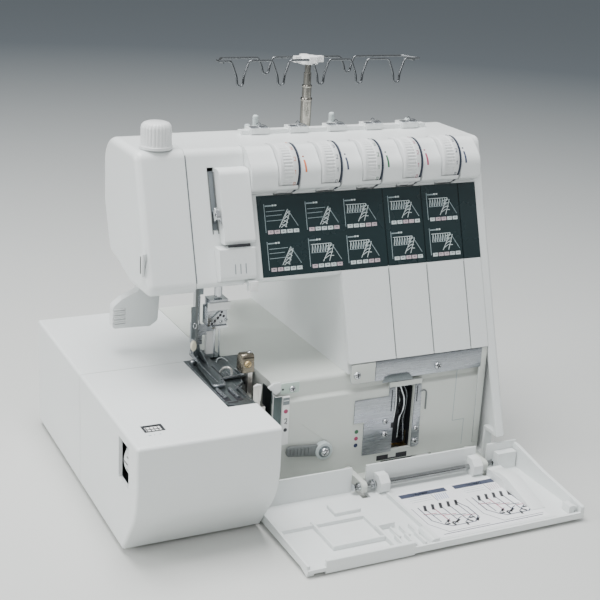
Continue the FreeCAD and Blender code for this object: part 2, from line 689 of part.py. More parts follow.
def looper_cover():
    """Front cover, drawn lying open in front of the machine on its hinge."""
    left, right = 118.6, 376.0
    near, far = -50.0, 54.0
    low, top = 3.6, 6.6
    floor = box("cover_floor", (left, right), (near, far), (low, top))
    rear_pieces = [box(f"cover_rear_wall_{i}", span, (52, far), (low, 29)) for i, span in
                   enumerate(((left, 208.5), (222.5, 333.0), (345.0, right)))]
    rim = prism("cover_front_rim", "X", [(near, 1.0, 1), (near + 3, 1.0), (near + 3, 12.5),
                                         (near, 12.5, 1)], 134, 212)
    small_rim = box("cover_small_rim", (212, right), (near, near + 2.5), (2.6, 8.0))
    left_wall = prism("cover_left_wall", "X",
                      [(near + 2, low), (far, low), (far, 27), (44, 24), (36, 12), (near + 2, 9.5)],
                      left, left + 2.5)
    right_wall = prism("cover_right_wall", "X",
                       [(near, low), (far, low), (far, 27, 2), (47, 27, 2), (8, 20, 6),
                        (near, 13.5, 2)], right - 3.5, right)
    wedge = prism("cover_wedge", "X", [(8, 6), (40, 6), (40, 14, 2), (14, 14, 2)], 337, 351.5)
    rib_long = box("cover_rib_long", (left + 2, 196), (7, 9), (6, 9.5))
    rib_step = box("cover_rib_step", (196, 198), (near + 2, 9), (6, 9.5))
    ribs = [box(f"cover_rib_{i}", (204 + 9 * i, 206 + 9 * i), (near + 2, near + 20), (6, 10))
            for i in range(4)]
    foot = prism("cover_corner_foot", "X", [(near + 2, 0.6), (near + 14, low + 0.1),
                                            (near + 2, low + 0.1)], left, left + 6)
    reach = size("hinge_radius") + size("running_gap")
    lugs = []
    for count, place in enumerate((229.5, 323.5)):
        outline = [(size("hinge_deep") + 9.8 * math.cos(math.radians(22.5 + 45 * i)),
                    size("hinge_high") + 9.8 * math.sin(math.radians(22.5 + 45 * i)))
                   for i in range(8)]
        lugs.append(prism(f"cover_lug_{count}", "X", outline, place, place + 9.5))
    solid = fuse("cover_solid", floor, *rear_pieces, rim, small_rim, left_wall, right_wall,
                 wedge, rib_long, rib_step, *ribs, foot, *lugs)
    start = (205, size("hinge_deep"), size("hinge_high"))
    bore = rod("cover_hinge_bore", start, X, reach, 146)
    notches = [box(f"cover_arm_notch_{i}", (x - 1.5, x + 6.5), (38, 60), (0, 22))
               for i, x in enumerate((214, 336))]
    node("looper_cover", cut("looper_cover_shape", solid, bore, *notches))


def cover_latch():
    """Sliding latch at the far front corner of the looper cover."""
    slot = box("latch_body", (363.5, 369), (-46, -36), (6.9, 13.5))
    tip = box("latch_tip", (369, 371.8), (-45, -40), (8.5, 12))
    node("cover_latch", fuse("cover_latch_shape", slot, tip))


def loopers():
    """Upper and lower looper in the well beside the needle, and the threading arms."""
    upper = fuse("upper_looper_shape",
                 rod("upper_looper_pin", (136.5, 84.5, 52), Y, 3, 60),
                 box("upper_looper_arm", (133, 138.5), (120, 126), (52, 88)),
                 box("upper_looper_blade", (124, 138.5), (121.5, 124.5), (84, 88)))
    node("upper_looper", upper)
    lower = fuse("lower_looper_shape",
                 rod("lower_looper_pin", (126, 84.5, 34), Y, 3, 62),
                 box("lower_looper_arm", (123, 129), (134, 139), (34, 78)),
                 box("lower_looper_blade", (117, 129), (135, 138), (75, 79)))
    node("lower_looper", lower)
    arms = []
    for count, across in enumerate((265.5, 272.5)):
        path = [(96, 30), (100, 30), (97, 50, 20), (94, 66, 20), (99, 82), (95, 82),
                (89, 66, 20), (93, 50, 20)]
        arms.append(prism(f"threading_arm_{count}", "X", path, across, across + 1.6))
    hub = rod("threading_hub", (254.5, 98, 28), X, 3.5, 31)
    node("threading_arms", fuse("threading_arms_shape", hub, *arms))


def bearings():
    """Needle bar bushes, and blocks for the looper pins and the threading arms' hub."""
    gap = size("running_gap")
    wall = box("bearing_wall_front", (119, 142.6), (88, 96), (24, 58))
    rear = box("bearing_wall_rear", (119, 142.6), (141, 147), (24, 58))
    floor = box("bearing_floor", (119, 142.6), (88, 147), (20.4, 25))
    pins = [rod("upper_pin_bore", (136.5, 80, 52), Y, 3 + gap, 80),
            rod("lower_pin_bore", (126, 80, 34), Y, 3 + gap, 80)]
    block = cut("looper_block", fuse("looper_block_body", wall, rear, floor), *pins)
    cheeks = [box(f"arm_cheek_{i}", (x, x + 3), (90, 112), (17, 36)) for i, x in
              enumerate((255.5, 281.0))]
    bore = rod("arm_hub_bore", (253, 98, 28), X, 3.5 + gap, 36)
    seat = box("arm_seat", (255.5, 284), (104, 112), (16, 20))
    arm_block = cut("arm_block", fuse("arm_block_body", *cheeks, seat), bore)
    node("bearings", group("bearings_group", *bar_bushes(), block, arm_block))


def selector_lever():
    """Grey ribbed lever that turns on a screw in the face."""
    lever = prism("selector_arm", "Y", [(156, 37, 2), (193, 32.5, 4), (196, 43, 4), (157, 46, 2)],
                  FACE - 4.4, FACE - 0.4)
    hub = rod("selector_hub", (191.5, FACE - 5.5, 38), Y, 8, 5.1)
    stem = rod("selector_stem", (191.5, FACE - 1, 38), Y, 4, 9)
    node("selector_lever", fuse("selector_lever_shape", lever, hub, stem))


def threading_slider():
    knob = box("slider_knob", (287, 300), (FACE - 4, FACE + 6), (10, 16))
    node("threading_slider", knob)


def knives():
    blade = prism("lower_knife_blade", "X", [(80, 62), (87, 62), (87, 101), (80, 101)],
                  129.6, 132.6)
    clamp = box("lower_knife_clamp", (132.6, 138), (81, 87), (62, 84))
    node("lower_knife", fuse("lower_knife_shape", blade, clamp))
    holder = prism("upper_knife_holder", "X", [(86, 118, 2), (99, 118, 2), (99, 131, 3),
                                               (88, 131, 4)], 111, 124.6)
    stem = box("upper_knife_stem", (124.2, 128.4), (88, 93), (68, 126))
    arm = box("upper_knife_arm", (124.2, 141), (88, 93), (66, 72))
    edge = box("upper_knife_edge", (124.8, 128.4), (93, 94.6), (106, 120))
    node("upper_knife", fuse("upper_knife_shape", holder, stem, arm, edge))


# ---- needle, presser and feed ----------------------------------------------------------

def needle_drive():
    x, y, radius = size("needle_across"), size("needle_deep"), size("needle_bar_radius")
    node("needle_bar", rod("needle_bar_rod", (x, y, 163), Z, radius, 95))
    clamp = prism("clamp_block", "Z", [(x - 9, y - 6, 1.5), (x + 8, y - 6, 1.5),
                                       (x + 8, y + 6, 1.5), (x - 9, y + 6, 1.5)], 137, 163)
    guide = box("clamp_guide", (x - 11, x + 12), (y - 8, y - 6), (156, 161))
    plate = box("clamp_plate", (x - 8, x + 6), (y - 8, y - 6), (136, 138.5))
    holes = [rod(f"clamp_needle_hole_{i}", (x + shift, y, 130), Z, 1.0, 15)
             for i, shift in enumerate((-2.2, 2.2))]
    node("needle_clamp", cut("needle_clamp_shape", fuse("clamp_body", clamp, guide, plate),
                             *holes))
    needles = [turned(f"needle_{i}", "Z", (x + shift, y, 105), [(0, 0), (0.85, 5), (0.95, 40),
                                                                (0, 40)])
               for i, shift in enumerate((-2.2, 2.2))]
    node("needles", group("needles_group", *needles))


def presser():
    x, y, radius = size("presser_across"), size("presser_deep"), size("presser_bar_radius")
    node("presser_bar", rod("presser_bar_rod", (x, y, 126), Z, radius, 124))
    sole = prism("foot_sole", "Z", [(93.5, 86, 2), (114, 84, 4), (128.5, 99, 3), (124, 128, 4),
                                    (124, 164, 3), (106, 164, 3), (97, 130, 5)], 104.4, 107)
    needle_gap = box("foot_needle_gap", (112.5, 123.5), (138, 146), (103, 110))
    toe_gap = box("foot_toe_gap", (107.5, 109), (80, 112), (103, 110))
    neck = box("foot_neck", (x - 5, x + 4), (149, 157), (106, 134))
    ankle = box("foot_ankle", (x - 6, x + 6), (149, 156), (112, 118))
    solid = cut("foot_solid", fuse("foot_body", sole, neck, ankle), needle_gap, toe_gap)
    bore = rod("foot_bar_bore", (x, y, 126), Z, radius, 20)
    node("presser_foot", cut("presser_foot_shape", solid, bore))


def presser_lifter():
    """White lever behind the head that raises the presser bar."""
    outline = [(39, 127.5, 2), (39.5, 147, 5), (47, 153, 3), (60, 158.5, 3), (72, 169, 6),
               (83, 177.0, 5), (92.6, 177.0, 4), (93, 166, 3), (81, 160, 6), (79, 131, 5),
               (72, 126.5, 3)]
    plate = prism("lifter_plate", "Y", outline, 183, 193)
    pin = rod("lifter_pin", (88, 176, 172), Y, 2.5, 23)
    grooves = [box(f"lifter_groove_{i}", (38, 50), (182, 185), (131 + 4 * i, 132.4 + 4 * i))
               for i in range(4)]
    node("presser_lifter", fuse("presser_lifter_shape", cut("lifter_grip", plate, *grooves), pin))


def feed_dogs():
    carrier = box("feed_carrier", (95, 112), (114, 136), (93, 98.5))
    rows = [box(f"feed_row_{i}", (x - 1.1, x + 1.1), (112, 137), (97, 103.9))
            for i, x in enumerate((97.5, 103.5, 109.5))]
    node("feed_dogs", fuse("feed_dogs_shape", carrier, *rows))


def takeup_lever():
    """Lever that pulls the needle threads, reaching out of the slot in the arm."""
    outline = [(136, 218, 2), (143.5, 219, 2), (143, 226, 3), (114, 247, 2), (109, 240, 2),
               (133, 223, 4)]
    blade = prism("takeup_blade", "X", outline, 101.6, 104.8)
    deep, high = size("takeup_deep"), size("takeup_high")
    hub = rod("takeup_hub", (101.6, deep, high), X, 4, 3.2)
    bore = rod("takeup_bore", (100, deep, high), X, 2 + size("running_gap"), 8)
    eye = rod("takeup_eye", (100, 113, 242), X, 1.3, 7)
    node("takeup_lever", cut("takeup_lever_shape", fuse("takeup_body", blade, hub), bore, eye))


# ---- dials and knobs -------------------------------------------------------------------

def tension_dials():
    deep, high, width = size("dial_deep"), size("dial_high"), size("dial_width")
    radius = size("dial_radius")
    for count in range(5):
        middle = size("dial_first") + count * size("dial_pitch")
        left = middle - width / 2
        name = f"tension_dial_{count + 1}"
        wheel = turned(f"{name}_wheel", "X", (left, deep, high),
                       [(3.05, 0), (radius, 0, 0.6), (radius, width, 0.6), (3.05, width)])
        node(name, wheel)


def presser_dial():
    x, y = size("knob_across"), size("knob_deep")
    cap = turned("knob_cap", "Z", (x, y, ARM_TOP + 0.6),
                 [(0, 0), (13.2, 0), (13.2, 15, 3), (9.5, 20.5, 4), (0, 21.5)])
    flutes = []
    for count in range(18):
        angle = math.radians(20 * count)
        at = (x + 14.0 * math.cos(angle), y + 14.0 * math.sin(angle), ARM_TOP + 3)
        flutes.append(rod(f"knob_flute_{count}", at, Z, 1.3, 14))
    screw = rod("knob_screw", (x, y, 262), Z, 4, 29)
    node("presser_dial", fuse("presser_dial_shape", cut("knob_fluted", cap, *flutes), screw))


def stitch_dial():
    """Stitch length wheel turning in the recess of the extension table."""
    radius = size("wheel_radius")
    at = (size("wheel_across"), size("wheel_deep") - 4.5, size("wheel_high"))
    wheel = turned("stitch_wheel", "Y", at, [(0, 0), (radius, 0, 1), (radius, 9, 1), (0, 9)])
    axle_at = (size("wheel_across"), 14, size("wheel_high"))
    axle = rod("stitch_axle_rod", axle_at, Y, size("wheel_axle_radius"), 34)
    node("stitch_dial", fuse("stitch_dial_shape", wheel, axle))


def main_drive():
    """Main shaft, handwheel, motor, motor pulley and the belt between them."""
    y, z = size("shaft_deep"), size("shaft_high")
    shaft = rod("main_shaft_rod", (152, y, z), X, size("shaft_radius"), 220)
    pulley = turned("shaft_pulley", "X", (338, y, z), [(4.9, 0), (24, 0), (22, 4), (24, 8),
                                                       (4.9, 8)])
    node("main_shaft", fuse("main_shaft_shape", shaft, pulley))
    wheel = turned("handwheel_body", "X", (364, y, z),
                   [(5.0, 0), (28, 0, 2), (37, 6, 3), (37, 18, 4), (30, 22, 4), (24, 16, 3),
                    (10, 18, 2), (8, 22, 1), (5.0, 22)])
    grips = []
    for count in range(24):
        angle = math.radians(15 * count)
        at = (366, y + 38 * math.cos(angle), z + 38 * math.sin(angle))
        grips.append(rod(f"handwheel_grip_{count}", at, X, 2.0, 22))
    node("handwheel", cut("handwheel_shape", wheel, *grips))
    deep = size("motor_deep")
    can = rod("motor_can", (240, deep, z - 12), X, 26, 84)
    nose = rod("motor_nose", (324, deep, z - 12), X, 10, 6)
    bore = rod("motor_bore", (235, deep, z - 12), X, 4.05, 110)
    seat = box("motor_seat", (250, 316), (deep - 16, deep + 16), (8, 34))
    node("motor", cut("motor_shape", fuse("motor_body", can, nose, seat), bore))
    spindle = rod("motor_spindle", (250, deep, z - 12), X, 4, 98)
    small = turned("motor_wheel", "X", (338, deep, z - 12), [(3.9, 0), (9, 0), (7, 4), (9, 8),
                                                             (3.9, 8)])
    node("motor_pulley", fuse("motor_pulley_shape", spindle, small))


def drive_belt():
    """Round belt drawn as two runs and the arcs over the pulleys, lying just off their rims."""
    y1, z1, r1 = size("shaft_deep"), size("shaft_high"), 24.6
    y2, z2, r2 = size("motor_deep"), size("shaft_high") - 12, 9.6
    thick = 2.4

    def loop(name, extra, low, high):
        distance = math.hypot(y2 - y1, z2 - z1)
        turn = math.atan2(z2 - z1, y2 - y1)
        lean = math.acos((r1 - r2) / distance)
        points = []
        for centre, radius, side in (((y1, z1), r1 + extra, (1, 0, -1)),
                                     ((y2, z2), r2 + extra, (-1, 0, 1))):
            points.append([(centre[0] + radius * math.cos(turn + s), centre[1]
                            + radius * math.sin(turn + s))
                           for s in ((lean, math.pi, -lean) if side[0] == 1 else
                                     (-lean, 0, lean))])
        body = doc.addObject("PartDesign::Body", name)
        sketch = new_sketch(body, "YZ_Plane", low)
        big, small = ([Vector(*p, 0) for p in trio] for trio in points)
        sketch.addGeometry(Part.Arc(big[0], big[1], big[2]), False)
        sketch.addGeometry(Part.LineSegment(big[2], small[0]), False)
        sketch.addGeometry(Part.Arc(small[0], small[1], small[2]), False)
        sketch.addGeometry(Part.LineSegment(small[2], big[0]), False)
        pad = body.newObject("PartDesign::Pad", f"{name}_pad")
        pad.Profile = sketch
        bind(pad, "Length", f"{name}_length", high - low)
        return body

    node("drive_belt", cut("drive_belt_shape", loop("belt_outer", thick, 339.5, 344.5),
                           loop("belt_inner", 0, 338, 346)))


# ---- electrics -------------------------------------------------------------------------

def electrics():
    x = RIGHT
    inlet = box("inlet_block", (x - 12, x + 1.2), (212.4, 237.6), (28.4, 45.6))
    socket = box("inlet_socket", (x - 9, x + 2), (215, 235), (31, 43))
    pins = [box(f"inlet_pin_{i}", (x - 9.5, x - 3), (y, y + 2), (35, 39)) for i, y in
            enumerate((219, 229))]
    node("power_inlet", fuse("power_inlet_shape", cut("inlet_shell", inlet, socket), *pins))
    rocker = prism("rocker_body", "Y", [(x - 7, 31.2), (x + 1.0, 31.2, 1), (x + 0.2, 37),
                                        (x + 2.2, 42.8, 1), (x - 7, 42.8)], 246, 266)
    pivot = rod("rocker_pivot", (x - 3.5, 245.2, 37), Y, 1.5, 21.6)
    node("power_switch", fuse("power_switch_shape", rocker, pivot))
    tab = [(93.5, 181, 1.5), (99, 181), (99, 190), (95, 190, 1.5)]
    slide = prism("threader_tab", "X", tab, 125.2, 132.4)
    rail = box("threader_rail", (127, 130.5), (98, 107), (184.8, 190))
    node("threader_lever", fuse("threader_lever_shape", slide, rail))


for build in (base_tray, rubber_feet, lower_housing, side_cover, extension_table, needle_plate,
              arm_housing, head_cover, rear_cover, cast_frame, front_panels,
              tension_housing, tension_shafts, takeup_cover, thread_guides,
              spool_stand, thread_pole, guide_wire, face_plates, cover_screws, hinge_shaft,
              looper_cover, cover_latch, loopers, bearings, selector_lever,
              threading_slider, knives, needle_drive, presser, presser_lifter, feed_dogs,
              takeup_lever, tension_dials, presser_dial, stitch_dial, main_drive, drive_belt,
              electrics):
    build()

doc.recompute()


# ---- checks and export -----------------------------------------------------------------

def check_document():
    for obj in doc.Objects:
        if "Invalid" in obj.State or "Error" in obj.State:
            raise RuntimeError(f"{obj.Name} did not recompute: {obj.State}")
    for name, obj in nodes.items():
        if obj.Shape.isNull() or not obj.Shape.isValid():
            raise RuntimeError(f"{name} has no valid shape")


check_document()
os.makedirs("parts", exist_ok=True)
for name, obj in nodes.items():
    obj.Shape.exportStep(f"parts/{obj.Label}.step")

whole = Part.makeCompound([obj.Shape for obj in nodes.values()]).BoundBox
print("nodes", len(nodes))
print("box", [round(v, 2) for v in (whole.XMin, whole.XMax, whole.YMin, whole.YMax, whole.ZMin,
                                    whole.ZMax)])
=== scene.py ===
"""Looks of the overlock machine: materials, fine detail, light and camera."""
import math

import bmesh
import bpy
from mathutils import Matrix, Vector
from mathutils.bvhtree import BVHTree


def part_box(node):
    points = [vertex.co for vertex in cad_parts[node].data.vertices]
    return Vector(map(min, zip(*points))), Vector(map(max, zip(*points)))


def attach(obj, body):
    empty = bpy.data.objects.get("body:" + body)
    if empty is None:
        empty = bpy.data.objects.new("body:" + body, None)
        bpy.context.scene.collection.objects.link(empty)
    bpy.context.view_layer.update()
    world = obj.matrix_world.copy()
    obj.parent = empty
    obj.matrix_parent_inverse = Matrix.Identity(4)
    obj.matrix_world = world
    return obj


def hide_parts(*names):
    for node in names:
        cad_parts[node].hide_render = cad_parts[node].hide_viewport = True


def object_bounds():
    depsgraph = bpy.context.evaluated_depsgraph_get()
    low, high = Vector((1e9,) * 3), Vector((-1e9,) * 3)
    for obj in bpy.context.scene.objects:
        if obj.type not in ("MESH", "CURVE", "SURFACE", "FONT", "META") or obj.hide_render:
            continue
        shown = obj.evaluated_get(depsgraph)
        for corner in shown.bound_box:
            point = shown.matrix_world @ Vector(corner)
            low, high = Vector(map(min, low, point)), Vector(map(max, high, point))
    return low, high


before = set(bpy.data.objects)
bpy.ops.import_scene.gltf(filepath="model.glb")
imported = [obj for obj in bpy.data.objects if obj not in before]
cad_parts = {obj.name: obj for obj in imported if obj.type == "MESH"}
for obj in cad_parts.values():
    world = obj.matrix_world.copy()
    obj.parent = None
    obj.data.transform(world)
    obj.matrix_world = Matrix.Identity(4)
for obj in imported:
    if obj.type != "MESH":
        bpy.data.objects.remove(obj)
CAD_LOW, CAD_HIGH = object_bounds()

# The CAD's own drawing frame, in millimetres: x from the left side, y from the front of the
# extension table, z from the ground. The open looper cover reaches 50 mm in front of y = 0.
COVER_REACH = 50.0
ORIGIN = Vector((CAD_LOW.x, CAD_LOW.y + COVER_REACH / 1000, CAD_LOW.z))
LEAN = math.radians(18.7)
FRONT_FOOT = (76.5, 113.3)
BED = 104.0
FACE = 78.0
PLATE_NEAR = FACE - 1.2
AXES = {"X": 0, "Y": 1, "Z": 2}


def place(x, y, z):
    """A point of the drawing frame, in metres in the row frame."""
    return ORIGIN + Vector((x, y, z)) / 1000


def front(z, behind=0.0):
    """Depth of the leaning front plane at a height."""
    return FRONT_FOOT[0] + math.tan(LEAN) * (z - FRONT_FOOT[1]) + behind / math.cos(LEAN)


def axes_matrix(across, up, out, base):
    """The frame with these three unit axes at a base point."""
    columns = Matrix((across, up, out)).transposed().to_4x4()
    return Matrix.Translation(base) @ columns


# ---- materials

def new_material(name):
    mat = bpy.data.materials.new(name)
    mat.use_nodes = True
    tree = mat.node_tree
    return mat, tree, tree.nodes["Principled BSDF"]


def coordinates(tree):
    return tree.nodes.new("ShaderNodeTexCoord").outputs["Object"]


def noise(tree, scale, detail=3.0, stretch=(1, 1, 1)):
    mapping = tree.nodes.new("ShaderNodeMapping")
    mapping.inputs["Scale"].default_value = stretch
    tree.links.new(coordinates(tree), mapping.inputs["Vector"])
    texture = tree.nodes.new("ShaderNodeTexNoise")
    texture.inputs["Scale"].default_value = scale
    texture.inputs["Detail"].default_value = detail
    tree.links.new(mapping.outputs["Vector"], texture.inputs["Vector"])
    return texture.outputs["Fac"]


def ramp(tree, source, low, high, start=0.35, end=0.65):
    node = tree.nodes.new("ShaderNodeValToRGB")
    node.color_ramp.elements[0].position = start
    node.color_ramp.elements[1].position = end
    node.color_ramp.elements[0].color = (*low, 1)
    node.color_ramp.elements[1].color = (*high, 1)
    tree.links.new(source, node.inputs["Fac"])
    return node.outputs["Color"]


def grade(tree, source, low, high):
    node = tree.nodes.new("ShaderNodeMapRange")
    node.inputs["To Min"].default_value = low
    node.inputs["To Max"].default_value = high
    tree.links.new(source, node.inputs["Value"])
    return node.outputs["Result"]


def relief(tree, bsdf, height, depth_mm, strength=1.0, soft_mm=0.0):
    """Bump from a height, over edges rounded by a bevel of soft_mm."""
    bump = tree.nodes.new("ShaderNodeBump")
    bump.inputs["Distance"].default_value = depth_mm / 1000
    bump.inputs["Strength"].default_value = strength
    tree.links.new(height, bump.inputs["Height"])
    if soft_mm:
        bevel = tree.nodes.new("ShaderNodeBevel")
        bevel.samples = 4
        bevel.inputs["Radius"].default_value = soft_mm / 1000
        tree.links.new(bevel.outputs["Normal"], bump.inputs["Normal"])
    tree.links.new(bump.outputs["Normal"], bsdf.inputs["Normal"])


def tint(colour, factor):
    return tuple(min(1.0, channel * factor) for channel in colour)


def plastic(name, colour, rough=0.36, grain=0.035, soft=0.6, variation=0.02, coat=0.0):
    """Moulded plastic: faint mottling, fine spark-eroded grain, uneven sheen, soft edges."""
    mat, tree, bsdf = new_material(name)
    mottling = noise(tree, 9, 4)
    colours = ramp(tree, mottling, tint(colour, 1 - variation), tint(colour, 1 + variation))
    tree.links.new(colours, bsdf.inputs["Base Color"])
    tree.links.new(grade(tree, noise(tree, 38, 3), rough - 0.05, rough + 0.06),
                   bsdf.inputs["Roughness"])
    relief(tree, bsdf, noise(tree, 1500, 2), grain, 0.35, soft)
    if coat:
        bsdf.inputs["Coat Weight"].default_value = coat
        bsdf.inputs["Coat Roughness"].default_value = 0.12
    return mat


def steel(name, colour, rough=0.28, brushed=(1, 1, 1), scale=260, soft=0.25, variation=0.10,
          depth=0.02):
    """Metal with brushed or ground marks along one axis and uneven polish."""
    mat, tree, bsdf = new_material(name)
    bsdf.inputs["Metallic"].default_value = 1.0
    marks = noise(tree, scale, 5, brushed)
    tree.links.new(ramp(tree, marks, tint(colour, 1 - variation), tint(colour, 1 + variation)),
                   bsdf.inputs["Base Color"])
    tree.links.new(grade(tree, noise(tree, scale * 0.6, 4, brushed), rough - 0.08, rough + 0.1),
                   bsdf.inputs["Roughness"])
    relief(tree, bsdf, marks, depth, 0.4, soft)
    return mat


def ink(name, colour, rough=0.45):
    """Printed ink with slight unevenness."""
    mat, tree, bsdf = new_material(name)
    tree.links.new(ramp(tree, noise(tree, 400, 3), tint(colour, 0.9), tint(colour, 1.08)),
                   bsdf.inputs["Base Color"])
    bsdf.inputs["Roughness"].default_value = rough
    relief(tree, bsdf, noise(tree, 2500, 2), 0.01, 0.3)
    return mat


SHELL = plastic("shell_plastic_look", (0.76, 0.79, 0.785), 0.3)
SHELL_WARM = plastic("inner_shell_look", (0.62, 0.65, 0.61), 0.38)
KNOB = plastic("dial_look", (0.74, 0.76, 0.76), 0.3, soft=0.3)
GREY = plastic("grey_plastic_look", (0.15, 0.165, 0.165), 0.38, soft=0.4)
PIN = plastic("spool_pin_look", (0.50, 0.56, 0.56), 0.35, soft=0.4)
LINING = plastic("slot_lining_look", (0.24, 0.27, 0.29), 0.45, soft=0.2)
SEAM_GREY = plastic("seam_look", (0.12, 0.14, 0.15), 0.5, soft=0.2)
# Near-black fill used as painted shade: in the gaps beside the dials and in the vent slots.
SHADE_FILL = plastic("painted_shade_fill_look", (0.035, 0.045, 0.07), 0.4, soft=0.2)
# Near-black: real dark plastic parts, and also thin sheets of painted shade in recesses and under
# the head.
DARK_PLASTIC_AND_SHADE = plastic("dark_plastic_and_painted_shade_look", (0.018, 0.02, 0.024), 0.5, soft=0.3)
CREAM = plastic("cream_plastic_look", (0.78, 0.74, 0.58), 0.35, soft=0.3)
WHITE = plastic("white_plastic_look", (0.84, 0.85, 0.84), 0.3, soft=0.3)
PAPER = plastic("label_look", (0.82, 0.83, 0.84), 0.5, grain=0.02, soft=0.0)
CHART = plastic("chart_print_look", (0.010, 0.024, 0.027), 0.26, grain=0.01, soft=0.3,
                variation=0.10, coat=0.3)
RUBBER = plastic("rubber_look", (0.022, 0.022, 0.024), 0.75, grain=0.12, soft=0.4)
ENAMEL = plastic("motor_enamel_look", (0.09, 0.11, 0.12), 0.4, grain=0.08)
CASTING = steel("casting_look", (0.55, 0.57, 0.58), 0.48, scale=900, variation=0.14, depth=0.08)
PLATE = steel("ground_plate_look", (0.40, 0.42, 0.45), 0.27, (1, 14, 14), 90)
DARK_STEEL = steel("needle_plate_look", (0.20, 0.225, 0.235), 0.36, (14, 1, 14), 80)
CHROME = steel("chrome_look", (0.62, 0.64, 0.66), 0.13, scale=40, variation=0.05, depth=0.01)
WIRE = steel("wire_look", (0.17, 0.18, 0.19), 0.24, scale=60, variation=0.06, depth=0.01)
BRONZE = steel("knife_block_look", (0.21, 0.185, 0.145), 0.26, (1, 1, 8), 120, variation=0.16)
BRASS = steel("bush_look", (0.56, 0.42, 0.22), 0.38, scale=300)
# Chrome darkened for the needle clamp: painted shade for its place under the head.
CHROME_IN_SHADE = steel("clamp_chrome_painted_shade_look", (0.42, 0.44, 0.46), 0.14, scale=60, variation=0.12)
SHAFT = steel("hinge_shaft_look", (0.30, 0.31, 0.31), 0.14, (1, 12, 12), 60, variation=0.15)
POLE = steel("pole_look", (0.40, 0.38, 0.34), 0.16, (12, 12, 1), 60, variation=0.12)
PALE_STEEL = steel("knife_tab_look", (0.62, 0.60, 0.57), 0.3, (8, 8, 1), 120)
INK_WHITE = ink("ink_white", (0.62, 0.70, 0.70))
INK_GREY = ink("ink_grey", (0.30, 0.38, 0.40))
INK_PINK = ink("ink_pink", (0.56, 0.46, 0.50))
INK_ORANGE = ink("ink_orange", (0.62, 0.16, 0.06))
INK_SLATE = ink("ink_slate", (0.05, 0.06, 0.10))
INK_GREEN = ink("ink_green", (0.03, 0.13, 0.06))
INK_RED = ink("ink_red", (0.36, 0.05, 0.12))
INK_NAVY = ink("ink_navy", (0.018, 0.028, 0.08))
# Black: printed marks, and also painted shade in slots, sunk screw crosses and under the plate
# fingers.
BLACK_INK_AND_SHADE = ink("black_ink_and_painted_shade", (0.02, 0.02, 0.025))
INK_BLUE = ink("ink_blue", (0.30, 0.36, 0.58))
PALE_GREEN = plastic("pale_green_look", (0.50, 0.62, 0.55), 0.4, soft=0.3)
GREEN_GREY = steel("green_grey_plate_look", (0.10, 0.125, 0.125), 0.36, (10, 10, 1), 90)
DIAL_INKS = (INK_ORANGE, INK_SLATE, INK_GREEN, INK_RED, INK_NAVY)

LOOKS = {
    SHELL: ("side_cover extension_table arm_housing head_cover rear_cover tension_housing "
            "takeup_cover thread_guide_bar spool_stand looper_cover lower_front_panel "
            "threader_lever pole_cap presser_lifter cover_latch"),
    SHELL_WARM: "lower_housing base_tray",
    CHART: "chart_panel",
    DARK_STEEL: "needle_plate feed_dogs",
    PLATE: "looper_plates",
    SHAFT: "hinge_shaft",
    CHROME: ("needle_bar presser_bar needles main_shaft takeup_lever upper_looper lower_looper "
             "threading_arms cover_screws tension_shafts"),
    POLE: "pole_base pole_lower pole_upper",
    PALE_STEEL: "lower_knife",
    CASTING: "cast_frame",
    BRASS: "bearings",
    KNOB: "handwheel stitch_dial",
    RUBBER: "rubber_feet drive_belt",
    GREY: "selector_lever motor_pulley",
    PIN: "spool_pins",
    WHITE: "threading_slider",
    DARK_PLASTIC_AND_SHADE: "power_inlet power_switch guide_springs",
    ENAMEL: "motor",
    BRONZE: "upper_knife",
}
for look, names in LOOKS.items():
    for name in names.split():
        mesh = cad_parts[name].data
        mesh.materials.clear()
        mesh.materials.append(look)


# ---- mesh making

